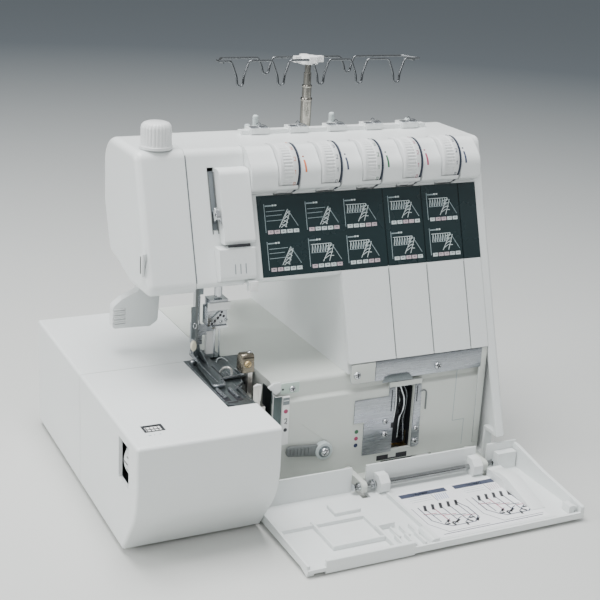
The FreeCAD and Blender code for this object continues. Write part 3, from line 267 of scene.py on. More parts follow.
class Build:
    """Gathers solids, in millimetres of the drawing frame, into one piece."""

    def __init__(self):
        self.bm = bmesh.new()
        self.looks = []

    def _dress(self, faces, look):
        if look not in self.looks:
            self.looks.append(look)
        index = self.looks.index(look)
        for face in faces:
            face.material_index = index
            face.smooth = True

    def _settle(self, before, look, bevel=0, turn=None):
        faces = [f for f in self.bm.faces if f not in before]
        self._dress(faces, look)
        if turn:
            verts = list({v for f in faces for v in f.verts})
            bmesh.ops.transform(self.bm, matrix=turn, verts=verts)
        if bevel:
            edges = [e for e in {e for f in faces for e in f.edges}
                     if len(e.link_faces) == 2 and e.calc_face_angle(0) > 0.6]
            bmesh.ops.bevel(self.bm, geom=edges, offset=bevel, segments=2, profile=0.5,
                            affect="EDGES", clamp_overlap=True)

    def box(self, x, y, z, look, bevel=0.3, turn=None):
        before = set(self.bm.faces)
        verts = [self.bm.verts.new((a, b, c)) for a in x for b in y for c in z]
        for quad in ((0, 1, 3, 2), (4, 6, 7, 5), (0, 4, 5, 1), (2, 3, 7, 6), (0, 2, 6, 4),
                     (1, 5, 7, 3)):
            self.bm.faces.new([verts[i] for i in quad])
        self._settle(before, look, bevel, turn)

    def prism(self, axis, outline, low, high, look, bevel=0.3, turn=None):
        """A closed outline pushed along an axis: (y, z) for X, (x, z) for Y, (x, y) for Z."""
        before = set(self.bm.faces)
        along = AXES[axis]

        def lift(point, depth):
            coords = list(point)
            coords.insert(along, depth)
            return self.bm.verts.new(coords)
        near = [lift(p, low) for p in outline]
        far = [lift(p, high) for p in outline]
        self.bm.faces.new(near)
        self.bm.faces.new(list(reversed(far)))
        for i in range(len(outline)):
            j = (i + 1) % len(outline)
            self.bm.faces.new((near[j], near[i], far[i], far[j]))
        fresh = [f for f in self.bm.faces if f not in before]
        bmesh.ops.recalc_face_normals(self.bm, faces=fresh)
        self._settle(before, look, bevel, turn)

    def lathe(self, axis, centre, profile, look, steps=48, turn=None, wave=None):
        """Profile points (radius, along) turned about an axis; wave(angle, radius) reshapes."""
        before = set(self.bm.faces)
        along = AXES[axis]
        across = [(1, 2), (2, 0), (0, 1)][along]
        rings = []
        for radius, distance in profile:
            ring = []
            count = steps if radius > 1e-6 else 1
            for step in range(count):
                angle = 2 * math.pi * step / steps
                reach = wave(angle, radius, distance) if wave else radius
                point = [0.0, 0.0, 0.0]
                point[along] = centre[along] + distance
                point[across[0]] = centre[across[0]] + reach * math.cos(angle)
                point[across[1]] = centre[across[1]] + reach * math.sin(angle)
                ring.append(self.bm.verts.new(point))
            rings.append(ring)
        for one, two in zip(rings, rings[1:]):
            for step in range(steps):
                nxt = (step + 1) % steps
                if len(one) == 1 and len(two) == 1:
                    continue
                if len(one) == 1:
                    self.bm.faces.new((one[0], two[nxt], two[step]))
                elif len(two) == 1:
                    self.bm.faces.new((one[step], one[nxt], two[0]))
                else:
                    self.bm.faces.new((one[step], one[nxt], two[nxt], two[step]))
        fresh = [f for f in self.bm.faces if f not in before]
        bmesh.ops.recalc_face_normals(self.bm, faces=fresh)
        self._settle(before, look, 0, turn)

    def tube(self, points, radius, look, sides=10):
        """A round wire through points, closed at both ends."""
        before = set(self.bm.faces)
        path = [Vector(p) for p in points]
        rings = []
        side = None
        for i, point in enumerate(path):
            ahead = path[min(i + 1, len(path) - 1)] - path[max(i - 1, 0)]
            ahead.normalize()
            if side is None:
                side = ahead.orthogonal().normalized()
            side = (side - ahead * side.dot(ahead)).normalized()
            other = ahead.cross(side)
            rings.append([self.bm.verts.new(point + radius * (
                side * math.cos(2 * math.pi * k / sides) +
                other * math.sin(2 * math.pi * k / sides))) for k in range(sides)])
        for one, two in zip(rings, rings[1:]):
            for k in range(sides):
                n = (k + 1) % sides
                self.bm.faces.new((one[k], one[n], two[n], two[k]))
        self.bm.faces.new(list(reversed(rings[0])))
        self.bm.faces.new(rings[-1])
        fresh = [f for f in self.bm.faces if f not in before]
        bmesh.ops.recalc_face_normals(self.bm, faces=fresh)
        self._settle(before, look)

    def disc(self, x, y, z, radius, look, rise=0.12, sink=0.1, steps=22):
        """A flat round spot on a surface that faces the front."""
        self.lathe("Y", (x, y, z), [(0, -rise), (radius, -rise), (radius, sink)], look, steps)

    def screw(self, centre, radius, look=None, cross=True, facing=(0, -1, 0), spin=0.4):
        """A domed screw head, its back on centre; its sunk cross or slot is shown by black boxes
        of painted shade.
        """
        look = look or CHROME
        spot = Matrix.Translation(Vector(centre)) @ Vector((0, 0, 1)).rotation_difference(
            Vector(facing)).to_matrix().to_4x4() @ Matrix.Rotation(spin, 4, "Z")
        r = radius
        self.lathe("Z", (0, 0, 0), [(0, 0), (r, 0), (r, 0.25 * r), (0.86 * r, 0.5 * r),
                                    (0.6 * r, 0.66 * r), (0, 0.72 * r)], look, 28, spot)
        # The cross or slot is black boxes on the dome: painted shade for the sunk recess.
        arms = ((1, 0), (0, 1)) if cross else ((1, 0),)
        for a, b in arms:
            half_a = 0.62 * r if a else 0.12 * r
            half_b = 0.62 * r if b else 0.12 * r
            self.box((-half_a, half_a), (-half_b, half_b), (0.55 * r, 0.735 * r), BLACK_INK_AND_SHADE, 0,
                     spot)

    def done(self, name, body, replaces=(), sharp=35):
        bmesh.ops.remove_doubles(self.bm, verts=self.bm.verts, dist=0.0005)
        for vert in self.bm.verts:
            vert.co = place(*vert.co)
        mesh = bpy.data.meshes.new(name)
        self.bm.to_mesh(mesh)
        self.bm.free()
        for look in self.looks:
            mesh.materials.append(look)
        mesh.set_sharp_from_angle(angle=math.radians(sharp))
        obj = bpy.data.objects.new(name, mesh)
        bpy.context.scene.collection.objects.link(obj)
        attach(obj, body)
        for node_name in replaces:
            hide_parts(node_name)
        return obj


def arc(centre, radius, start, end, steps):
    """Points of an arc in degrees, as 2-D pairs."""
    return [(centre[0] + radius * math.cos(math.radians(start + (end - start) * i / steps)),
             centre[1] + radius * math.sin(math.radians(start + (end - start) * i / steps)))
            for i in range(steps + 1)]


def lean_turn(x, z, off=0.0):
    """Frame on the leaning front: local X across, local Y up the slope, local Z outwards."""
    up = Vector((0, math.sin(LEAN), math.cos(LEAN)))
    out = Vector((0, -math.cos(LEAN), math.sin(LEAN)))
    return axes_matrix(Vector((1, 0, 0)), up, out, Vector((x, front(z), z)) + out * off)


# ---- tension dials

NUMERALS = {
    "0": [((0, 0), (1, 0)), ((1, 0), (1, 2)), ((1, 2), (0, 2)), ((0, 2), (0, 0))],
    "1": [((0.5, 0), (0.5, 2)), ((0.5, 2), (0.1, 1.6))],
    "2": [((0, 2), (1, 2)), ((1, 2), (1, 1)), ((1, 1), (0, 0)), ((0, 0), (1, 0))],
    "3": [((0, 2), (1, 2)), ((1, 2), (1, 0)), ((1, 0), (0, 0)), ((0.2, 1), (1, 1))],
    "4": [((0.8, 0), (0.8, 2)), ((0.8, 2), (0, 0.7)), ((0, 0.7), (1, 0.7))],
    "5": [((1, 2), (0, 2)), ((0, 2), (0, 1)), ((0, 1), (1, 1)), ((1, 1), (1, 0)),
          ((1, 0), (0, 0))],
    "6": [((1, 2), (0, 2)), ((0, 2), (0, 0)), ((0, 0), (1, 0)), ((1, 0), (1, 1)),
          ((1, 1), (0, 1))],
    "7": [((0, 2), (1, 2)), ((1, 2), (0.3, 0))],
    "8": [((0, 0), (1, 0)), ((1, 0), (1, 2)), ((1, 2), (0, 2)), ((0, 2), (0, 0)),
          ((0, 1), (1, 1))],
    "9": [((1, 0), (1, 2)), ((1, 2), (0, 2)), ((0, 2), (0, 1)), ((0, 1), (1, 1))],
}


def stroke(build, start, end, width, look, turn, height=0.12):
    """A thin raised line between two local points."""
    one, two = Vector((*start, 0)), Vector((*end, 0))
    run = two - one
    if run.length < 1e-6:
        return
    local = Matrix.Translation(one) @ Matrix.Rotation(math.atan2(run.y, run.x), 4, "Z")
    build.box((-width / 2, run.length + width / 2), (-width / 2, width / 2), (-0.05, height),
              look, 0, turn @ local)


def numeral(build, digit, size, look, turn):
    for start, end in NUMERALS[digit]:
        stroke(build, ((start[0] - 0.5) * size, (start[1] - 1) * size),
               ((end[0] - 0.5) * size, (end[1] - 1) * size), size * 0.26, look, turn)


DIAL_RADIUS, DIAL_DEEP, DIAL_HIGH, DIAL_WIDTH = 21.0, 133.5, 272.0, 17.0
DIAL_FIRST, DIAL_PITCH = 165.3, 38.6
RIDGES, RIDGE_DEPTH = 46, 0.65
NUMERAL_BAND, NUMERAL_SIZE = 13.7, 1.5


def tension_dial(count):
    middle = DIAL_FIRST + count * DIAL_PITCH
    left = middle - DIAL_WIDTH / 2
    r = DIAL_RADIUS

    def ridged(angle, radius, distance):
        if 4.0 < distance < 11.4 and radius > r - 1.5:
            return radius - RIDGE_DEPTH * (0.5 + 0.5 * math.cos(RIDGES * angle)) ** 2
        return radius
    body = Build()
    profile = [(3.1, 0.2), (r - 2.2, 0.2), (r - 0.5, 0.5), (r, 1.1), (r, 3.6), (r - 0.35, 4.1),
               (r - 0.3, 4.6), (r - 0.3, 10.8), (r - 0.35, 11.3), (r, 11.8), (r, 15.6),
               (r - 0.6, 16.5), (r - 2.0, 16.8), (3.1, 16.8), (3.1, 0.2)]
    body.lathe("X", (left, DIAL_DEEP, DIAL_HIGH), profile, KNOB, RIDGES * 6, wave=ridged)
    look = DIAL_INKS[count]
    for step, digit in enumerate("0123456789"):
        angle = math.radians(205 - 29 * step)
        out = Vector((0, math.cos(angle), math.sin(angle)))
        up = Vector((0, -math.sin(angle), math.cos(angle)))
        if up.cross(out).x < 0:
            up = -up
        spot = Vector((left + NUMERAL_BAND, DIAL_DEEP, DIAL_HIGH)) + out * r
        numeral(body, digit, NUMERAL_SIZE, look, axes_matrix(up.cross(out), up, out, spot))
    body.done(f"dial_wheel_{count + 1}", f"dial_{count + 1}",
              [f"tension_dial_{count + 1}"])


for number in range(5):
    tension_dial(number)

# ---- marks, and painted shade in the gaps beside the dials

HEAD_PARTS = "takeup_cover head_cover arm_housing side_cover tension_housing".split()


def touch(names, start, aim):
    """The first point, in the drawing frame, where a ray meets one of some CAD parts."""
    found = None
    for name in names:
        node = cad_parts[name]
        tree = BVHTree.FromObject(node, bpy.context.evaluated_depsgraph_get())
        back = node.matrix_world.inverted()
        hit = tree.ray_cast(back @ place(*start), back.to_3x3() @ Vector(aim))[0]
        if hit:
            point = (node.matrix_world @ hit - ORIGIN) * 1000
            if found is None or (point - Vector(start)).length < (found - Vector(start)).length:
                found = point
    return found


def skin(names, x, z):
    """Depth of the nearest surface of some CAD parts, seen from the front at x and z."""
    return touch(names, (x, -100, z), (0, 1, 0)).y


marks = Build()
for number in range(5):
    across = DIAL_FIRST + number * DIAL_PITCH + 15.2
    heights = [272.2 + 1.0 * k for k in range(10)]
    depths = [skin(["tension_housing"], across + 0.8, z) for z in heights]
    outline = [(y - 0.07, z) for y, z in zip(depths, heights)]
    outline += [(y + 0.4, z) for y, z in reversed(list(zip(depths, heights)))]
    marks.prism("X", outline, across, across + 1.7, DIAL_INKS[number], 0)
    spot = skin(["tension_housing"], across + 0.8, 283.4)
    marks.lathe("Y", (across + 0.8, spot, 283.4), [(0, -0.5), (0.75, -0.3), (0.75, 0.3)],
                DIAL_INKS[number], 20)
    # A near-black disc just right of each dial: painted shade in the gap between dial and housing.
    gap = DIAL_FIRST + number * DIAL_PITCH + 8.5
    marks.lathe("X", (gap, DIAL_DEEP, DIAL_HIGH), [(0, 0.3), (20.7, 0.3), (20.7, 1.5), (0, 1.5)],
                SHADE_FILL, 96)
marks.done("dial_marks", "machine")

# ---- parting seams, vents and cover screws

PANEL_SEAMS = (258.1, 296.0, 334.1)
seams = Build()


def seam_line(names, x, z_low, z_high, radius=0.9, steps=14):
    """A dark line laid along a parting seam, following the surface seen from the front."""
    heights = [z_low + (z_high - z_low) * k / steps for k in range(steps + 1)]
    points = [touch(names, (x, -100, z), (0, 1, 0)) for z in heights]
    seams.tube([p + Vector((0, 0.55 * radius, 0)) for p in points if p], radius, SEAM_GREY, 8)


for x in PANEL_SEAMS:
    seam_line(["lower_front_panel"], x, 114.6, 186.5)
seam_line(HEAD_PARTS, 83.2, 160.5, 286.0, 0.55, 30)
seams.done("seam_lines", "machine")

sides = Build()
# Side vents: dark lines of painted shade standing for the inside of the slots.
for k in range(9):
    z = 52 + 6 * k
    ends = [touch(["side_cover"], (420, y, z), (-1, 0, 0)) for y in (150, 205)]
    if all(ends):
        sides.tube([p - Vector((0.5, 0, 0)) for p in ends], 1.0, SHADE_FILL, 8)
for y, z in ((100, 60), (100, 200), (225, 40), (225, 110)):
    spot = touch(["side_cover"], (420, y, z), (-1, 0, 0))
    if spot:
        sides.screw(spot - Vector((0.4, 0, 0)), 3.2, CHROME, True, (1, 0, 0))
for x in (120, 200, 280):
    for z in (60, 240):
        spot = touch(["rear_cover", "extension_table"], (x, 330, z), (0, -1, 0))
        if spot:
            sides.screw(spot - Vector((0, 0.4, 0)), 3.2, CHROME, True, (0, 1, 0))
# Rear vents: dark lines of painted shade standing for the inside of the slots.
for k in range(8):
    x = 220 + 9 * k
    ends = [touch(["rear_cover"], (x, 330, z), (0, -1, 0)) for z in (36, 62)]
    if all(ends):
        sides.tube([p - Vector((0, 0.5, 0)) for p in ends], 1.0, SHADE_FILL, 8)
sides.done("vents_and_screws", "machine")

# ---- chart panel print

CHART_LEFTS = (145.5, 183.0, 219.0, 261.5, 300.0)
prints = Build()


def chart(column, row):
    """One stitch chart: index line, caption, sketch of the seam and a row of five boxes."""
    base = lean_turn(CHART_LEFTS[column] + 2.0, 220.8 if row == 0 else 191.6, 0.06)

    def line(a, b, width=0.4, look=INK_WHITE):
        stroke(prints, a, b, width, look, base, 0.1)
    line((-0.5, 3.0), (-0.5, 26.0), 0.45, INK_GREY)
    for k in range(4):
        line((0.8 + 1.4 * k, 24.6), (1.5 + 1.4 * k, 24.6), 1.0, INK_GREY)
    line((7.2, 24.8), (7.6, 24.8), 1.3)
    line((9.6, 24.8), (10.0, 24.8), 1.3)
    if column + row > 1:
        for k in range(7):
            x = 2.0 + 2.5 * k
            line((x, 14.5), (x + 0.9, 20.6), 0.5)
            line((x + 0.9, 20.6), (x + 1.9, 14.8), 0.4, INK_GREY)
        line((1.6, 21.0), (20.0, 21.0), 0.5)
        line((1.6, 14.0), (15.0, 14.0), 0.35, INK_GREY)
        for k in range(4):
            line((15.2 + 1.2 * k, 18.5 - 2.6 * k), (19.6 + 0.7 * k, 19.4 - 3.0 * k), 0.55)
            line((16.8 - 1.0 * k, 16.6 - 2.6 * k), (20.6 - 0.9 * k, 19.4 - 2.8 * k), 0.45)
    else:
        for z, reach in ((20.0, 17.5), (16.4, 14.6), (12.2, 15.8)):
            line((1.0, z), (reach, z + 0.3), 0.4, INK_GREY)
        for k in range(4):
            line((19.4 - 1.9 * k, 19.4 - 3.4 * k), (22.0 - 1.2 * k, 16.8 - 3.4 * k), 0.5)
            line((21.4 - 1.3 * k, 19.0 - 3.4 * k), (18.4 - 1.6 * k, 16.6 - 3.4 * k), 0.5)
    line((20.4, 20.8), (12.0, 6.6), 0.5)
    line((22.4, 19.2), (17.6, 6.6), 0.5)
    line((20.4, 20.8), (28.8, 7.0), 0.45, INK_GREY)
    for k in range(5):
        x = 1.5 + 5.8 * k
        line((x + 1.3, 3.0), (x + 3.1, 3.0), 3.0, INK_PINK if (k + column) % 5 < 2 else INK_WHITE)
        line((x + 1.7, 3.2), (x + 2.9, 3.2), 1.0, INK_SLATE)


for row in range(2):
    for column in range(5):
        chart(column, row)
prints.done("chart_marks", "machine")

# ---- thread guides on the top bar and the wire frame

guides = Build()
for number in range(5):
    across = 168.5 + 37.0 * number
    guides.box((across - 8, across + 8), (180.9, 182), (290.6, 295.3), SHELL, 0.3)
    for offset in (-1, 1):
        guides.box((across + offset * 4.4 - 3.2, across + offset * 4.4 + 3.2), (182.2, 189),
                   (295.4, 296.3), PLATE, 0.2)
    loop = [(across - 6 + 12 * t / 14, 181.0 - 2.2 * math.sin(math.pi * t / 14),
             296.6 + 2.4 * math.sin(math.pi * t / 14)) for t in range(15)]
    guides.tube(loop, 0.45, WIRE, 8)
    guides.tube([(across + 1.5, 186, 295.5), (across + 1.2, 185, 299.2),
                 (across - 0.8, 184.4, 300.2), (across - 2.2, 185, 298.6)], 0.4, WIRE, 8)
guides.done("thread_springs", "machine", ["guide_springs"])


def smooth_path(points, rounding, steps=7):
    """Points with each inner corner replaced by an arc-like curve."""
    path = [Vector(points[0])]
    for i in range(1, len(points) - 1):
        corner = Vector(points[i])
        back, ahead = Vector(points[i - 1]) - corner, Vector(points[i + 1]) - corner
        reach = min(rounding, back.length * 0.48, ahead.length * 0.48)
        one, two = corner + back.normalized() * reach, corner + ahead.normalized() * reach
        for k in range(steps + 1):
            t = k / steps
            path.append(one * (1 - t) ** 2 + corner * 2 * t * (1 - t) + two * t ** 2)
    path.append(Vector(points[-1]))
    return path


WIRE_LOW, WIRE_RADIUS = 346.6, 1.0
NEAR_WIRE, REAR_WIRE = 222.0, 240.0


def looped(y, centres, left, right, drop, width):
    """A wire that dips into a narrow V at each centre."""
    points = [(left, y, WIRE_LOW)]
    for centre in centres:
        points += [(centre - width, y, WIRE_LOW), (centre - 3.4, y - 1.0, WIRE_LOW - drop * 0.62),
                   (centre - 2.6, y - 1.5, WIRE_LOW - drop), (centre + 2.6, y - 1.5,
                                                               WIRE_LOW - drop),
                   (centre + 3.4, y - 1.0, WIRE_LOW - drop * 0.62), (centre + width, y, WIRE_LOW)]
    points.append((right, y, WIRE_LOW))
    return points


wires = Build()
near_loops = [165.0 + 39.0 * i for i in range(5)]
near_line = looped(NEAR_WIRE, near_loops, 145.2, 345.8, 21.5, 8.5)
rear_line = looped(REAR_WIRE, [197.0, 279.0], 154.0, 337.0, 14.0, 7.0)
rear_line.reverse()
ring = near_line + rear_line
wires.tube(smooth_path(ring + ring[:2], 3.0), WIRE_RADIUS, WIRE, 12)
for start in (150, 340):
    wires.tube([(start, NEAR_WIRE + 1, WIRE_LOW - 1.5), (start, 231, WIRE_LOW - 2.0),
                (start, REAR_WIRE - 1, WIRE_LOW - 1.5)], 0.8, WIRE, 8)
wires.done("guide_loops", "pole_head", ["guide_wire"])

pole = Build()
for high, radius, inner in ((311.5, 5.0, 4.3), (196.0, 7.2, 5.0)):
    pole.lathe("Z", (235, 231, high), [(inner, -5), (radius + 0.3, -2), (radius + 0.3, -0.6),
                                      (radius, 0), (inner, 0)], POLE, 40)
pole.done("pole_collars", "machine")
pole = Build()
pole.lathe("Z", (235, 231, 323.0), [(3.55, -3), (4.5, -1.6), (4.5, -0.4), (4.3, 0), (3.55, 0)],
           POLE, 36)
pole.done("pole_middle_collar", "pole_middle")

cap = Build()
cap.lathe("Z", (235, 231, 342.0), [(0, 0), (8.6, 0), (9.2, 0.8), (9.2, 5.6), (8.4, 6.9),
                                   (3.0, 7.4), (0, 7.45)], WHITE, 48)
for side in (-1, 1):
    cap.box((235 + side * 10 - 4, 235 + side * 10 + 4), (228, 234), (343.4, 348.8), WHITE, 0.8)
cap.box((231.5, 238.5), (220.2, 242.2), (343.6, 349.2), WHITE, 0.9)
cap.done("pole_head_cap", "pole_head", ["pole_cap"])

# ---- presser dial and thumbwheel


def fluted(angle, radius, distance):
    if 3.0 < distance < 19.0 and radius > 11:
        return radius - 0.55 * (0.5 + 0.5 * math.cos(26 * angle)) ** 3
    return radius


knob_high = 1000 * (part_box("presser_dial")[1].z - CAD_LOW.z)
knob_wide = 500 * (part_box("presser_dial")[1].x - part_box("presser_dial")[0].x)
tall = knob_high - 290.2
knob = Build()
r = knob_wide
knob.lathe("Z", (63.4, 148, 290.4),
           [(0, 0), (r - 0.3, 0), (r, 0.4), (r, 2.2), (r - 0.7, 2.8), (r - 0.8, 3.6),
            (r - 0.8, 0.74 * tall), (r - 1.3, 0.85 * tall), (r - 2.8, 0.93 * tall),
            (r - 5.4, 0.975 * tall), (0, tall - 0.2)], KNOB, 208,
           wave=fluted)
knob.lathe("Z", (63.4, 148, 0), [(0, 262), (4.0, 262), (4.0, 290.4), (0, 290.4)], CHROME, 32)
knob.done("presser_knob_fluted", "presser_knob", ["presser_dial"])


def knurled(angle, radius, distance):
    return radius - 0.5 * (0.5 + 0.5 * math.cos(60 * angle)) if radius > 19.4 else radius


wheel = Build()
wheel.lathe("Y", (21.5, 31, 79), [(0, -8.5), (2.4, -8.5), (2.4, -6), (18.6, -6), (19.6, -5.4),
                                  (19.95, -4.6), (19.95, 4.6), (19.6, 5.4), (18.6, 6), (2.4, 6),
                                  (2.4, 15), (0, 15)], SHELL, 360, wave=knurled)
for step in range(24):
    angle = 2 * math.pi * step / 24
    turn = Matrix.Translation((21.5, 31, 79)) @ Matrix.Rotation(angle, 4, "Y")
    wheel.box((19.75, 20.0), (-4.2, -0.5 if step % 4 else 3.5), (-0.35, 0.35), BLACK_INK_AND_SHADE, 0,
              turn)
wheel.done("stitch_wheel", "length_wheel", ["stitch_dial"])

# ---- extension table details

table = Build()
for x, y in (((14.9, 30.6), (25.4, 26.6)), ((14.9, 30.6), (35.4, 36.6)),
             ((14.9, 16.4), (26.6, 35.4)), ((29.1, 30.6), (26.6, 35.4))):
    table.box(x, y, (102.4, 104.12), DARK_PLASTIC_AND_SHADE, 0.2)
table.box((16.4, 29.1), (26.6, 35.4), (102.3, 103.1), WHITE, 0.1)
for k in range(4):
    table.box((17.6 + 3 * k, 18.2 + 3 * k), (27.4, 34.4), (103.1, 103.35), BLACK_INK_AND_SHADE, 0)
table.box((17, 28.6), (30.6, 31.4), (103.1, 103.4), BLACK_INK_AND_SHADE, 0)
for k, width in enumerate((2.2, 0.7, 1.4)):
    table.box((15.5 + 4.2 * k, 15.5 + 4.2 * k + width), (19.2, 20.1),
              (BED - 0.04, BED + 0.08), INK_GREY, 0)
table.done("stitch_window", "machine")

# ---- lifter, head and thread path

ribs = Build()
for k in range(4):
    low = 131.4 + 4 * k
    ribs.prism("X", [(182.9, low), (182.3, low + 0.9), (182.9, low + 1.8)], 39.8, 49.8, SHELL, 0)
ribs.done("lifter_ribs", "lifter")

head = Build()
head.box((-9.6, 9.6), (-1.4, 1.0), (11.1, 11.9), DARK_PLASTIC_AND_SHADE, 0.2, lean_turn(117.6, 215.6))
head.box((-5.5, 9.0), (0, 52), (-3.4, -2.9), LINING, 0.2, lean_turn(104.0, 224.6))
for k in range(3):
    x = 113.6 + 4.6 * k
    head.tube([(x, skin(HEAD_PARTS, x, z), z) for z in (189.5, 197.0, 204.5)], 0.42, LINING, 8)
for x in (100.9, 105.6):
    head.box((-0.35, 0.35), (0, 50), (-1.5, 0.35), GREY, 0.1, lean_turn(x, 225.5))
head.tube([(103.6, front(246, -2.5), 246), (104.8, front(240, -6), 240),
           (107, front(233, -7), 233), (107.8, front(227, -4), 227),
           (107.4, front(224.5, -1), 224.5)], 1.0, CHROME, 10)
for z in (231.9, 249.8):
    head.tube([(135.2, front(z, -0.2), z), (135.2, front(z, -2.6), z - 0.5),
               (135.2, front(z, -2.8), z - 3.5), (135.3, front(z - 5, -1.4), z - 5)], 0.6, GREY,
              8)
head.box((-1.2, 1.2), (-9.0, 9.0), (0.05, 0.35), DARK_PLASTIC_AND_SHADE, 0.1, lean_turn(135.4, 240.9))
head.done("thread_path_trim", "machine")

button = Build()
button.box((124.9, 132.6), (92.6, 94.4), (181.6, 189.6), WHITE, 0.7)
button.box((126.4, 131.2), (92.1, 92.9), (183.2, 188.0), WHITE, 0.4)
button.done("threader_button", "threader")

cutter = Build()
cutter.prism("X", [(108.2, 197.0), (115.4, 199.0), (115.4, 213.0), (108.2, 215.5)], 39.2, 41.4,
             SHELL, 0.5)
cutter.box((39.0, 40.2), (110.8, 112.6), (199, 213), DARK_PLASTIC_AND_SHADE, 0.1)
cutter.done("thread_cutter", "machine")

# ---- needle clamp, needles and foot

NEEDLES_MIDDLE = 118.0
clamp = Build()
# The clamp body takes the darkened chrome: painted shade.
clamp.box((106.8, 124.2), (136.1, 147.9), (138.4, 154.8), CHROME_IN_SHADE, 0.9)
clamp.box((106.6, 126.4), (134.1, 136.3), (152.8, 159.4), WHITE, 0.5)
clamp.box((108.4, 124.6), (135.4, 148), (152.0, 161.6), CHROME_IN_SHADE, 0.6)
clamp.box((110.2, 124.2), (134.2, 137), (136.1, 138.6), CHROME, 0.4)
clamp.box((112, 124), (136.4, 147), (137.1, 139), CHROME_IN_SHADE, 0.4)
for k in range(3):
    x, z = 110.6 + 2.7 * k, 140.4 + 2.5 * k
    clamp.disc(x, 136.12, z, 1.25, BLACK_INK_AND_SHADE, 0.14, 0.4)
    clamp.lathe("Y", (x, 136.12, z), [(1.25, -0.12), (1.6, -0.22), (1.7, 0.2)], CHROME, 22)
for x, z in ((119.3, 150.2), (121.2, 146.4), (118.2, 147.6)):
    clamp.disc(x, 136.12, z, 1.1, BLACK_INK_AND_SHADE, 0.14, 0.4)
clamp.prism("Y", [(109.2, 146.2), (110.4, 145.2), (121.2, 153.6), (119.4, 154.4)], 135.7, 136.3,
            DARK_STEEL, 0.15)
for k, x in enumerate((NEEDLES_MIDDLE - 2.2, NEEDLES_MIDDLE + 2.2)):
    clamp.screw((x + 3.2, 136.2, 141.6 + 1.5 * k), 1.5, CHROME, False)
clamp.done("needle_clamp_block", "needle_drive", ["needle_clamp"])

bar = Build()
bar.lathe("Z", (103, 152, 0), [(0, 126.2), (3, 126.2), (3, 250), (0, 250)], CHROME, 36)
bar.box((111.4, 118.2), (148.9, 152.8), (108.2, 129), WHITE, 0.7)
bar.box((104, 118.2), (149.2, 155), (126, 134), PLATE, 0.7)
bar.box((99.2, 107.2), (148.7, 157), (118.0, 135.8), PLATE, 0.8)
bar.screw((103.2, 148.9, 131.0), 2.0, CHROME, False)
bar.done("presser_shank", "presser_set")

foot = Build()
SOLE = [(93.6, 86.6), (95.6, 84.6), (101.5, 84.4), (104.0, 85.8), (104.4, 95.8), (106.4, 98.3),
        (123.6, 99.8), (127.2, 101.2), (127.0, 104), (124, 128), (123.9, 137.6), (113.0, 137.6),
        (113.0, 146.2), (123.9, 146.2), (123.9, 161), (121, 163.8), (108, 163.8), (105.8, 161),
        (97, 130)]
foot.prism("Z", SOLE, 104.5, 106.3, DARK_STEEL, 0.45)
rim = [(93.9, 88, 106.4), (94.6, 85.2, 106.6), (97.5, 84.8, 106.7), (101.8, 85.0, 106.7),
       (103.6, 86.6, 106.7), (104.2, 95.4, 106.7), (106.4, 98.2, 106.7), (115, 99.4, 106.7),
       (123.4, 100.2, 106.7), (126.4, 101.5, 106.6)]
foot.tube(smooth_path(rim, 2.5), 1.0, PLATE, 10)
foot.box((107.3, 108.1), (101.6, 126), (106.0, 106.7), BLACK_INK_AND_SHADE, 0)
foot.box((99.2, 100.0), (92, 128), (106.0, 106.7), PLATE, 0.2)
for k in range(4):
    foot.box((110.4 + 3.4 * k, 111.2 + 3.4 * k), (103, 112), (106.0, 106.75), PLATE, 0.2)
foot.prism("Y", [(98.6, 106.3), (107.4, 106.3), (106.2, 113), (105.2, 119), (100.8, 119),
                 (99.8, 113)], 149.4, 156.8, DARK_STEEL, 0.6)
for x0, x1 in ((105.2, 106.6), (98.8, 100.2)):
    foot.prism("X", [(128, 106.3), (154, 106.3), (154, 112), (146, 112), (136, 108.4)], x0, x1,
               PLATE, 0.3)
foot.lathe("X", (97.6, 151.4, 110.6), [(0, 0), (1.5, 0), (1.5, 10.8), (0, 10.8)], CHROME, 24)
foot.tube(smooth_path([(112.6, 130, 107.4), (116, 134, 109.4), (121, 134.5, 109.2),
                       (124, 130, 107.0)], 3), 0.7, CHROME, 8)
foot.tube([(123.2, 112, 107.2), (124.8, 103, 107.4)], 0.9, CHROME, 8)
foot.tube(smooth_path([(115.4, 100.8, 108), (114.6, 101, 113.5), (110.5, 105, 113.5),
                       (108.6, 110, 107.4)], 4), 1.1, PALE_STEEL, 10)
foot.done("presser_foot_detail", "presser_set", ["presser_foot"])

guard = Build()
guard.box((93.8, 97.4), (139.6, 141.0), (127.5, 153.5), DARK_STEEL, 0.3)
guard.box((97.4, 99.4), (139.2, 141.4), (118.0, 190), GREY, 0.4)
guard.box((93.8, 100.2), (139.4, 141.2), (150.8, 155.5), DARK_STEEL, 0.3)
guard.tube([(96.6 + 1.3 * math.cos(a), 138.9, 139.4 + 2.4 * math.sin(a))
            for a in [math.pi * k / 8 for k in range(17)]], 0.42, CHROME, 8)
guard.lathe("Y", (95.7, 137.2, 121.4), [(0, 0), (2.0, 0.2), (2.5, 1.0), (2.5, 2.4), (1.6, 3.6),
                                        (0, 3.8)], CREAM, 32,
            Matrix.Translation((95.7, 139, 121.4)) @ Matrix.Diagonal((1, 1, 1.9, 1)) @
            Matrix.Translation((-95.7, -139, -121.4)))
guard.tube(smooth_path([(96.4, 140, 117.5), (97.6, 141, 113), (99.4, 142.5, 110.5),
                        (101, 143, 108.6)], 3), 1.1, DARK_STEEL, 8)
guard.box((99.4, 104.2), (140.4, 142.0), (166, 186), DARK_STEEL, 0.3)
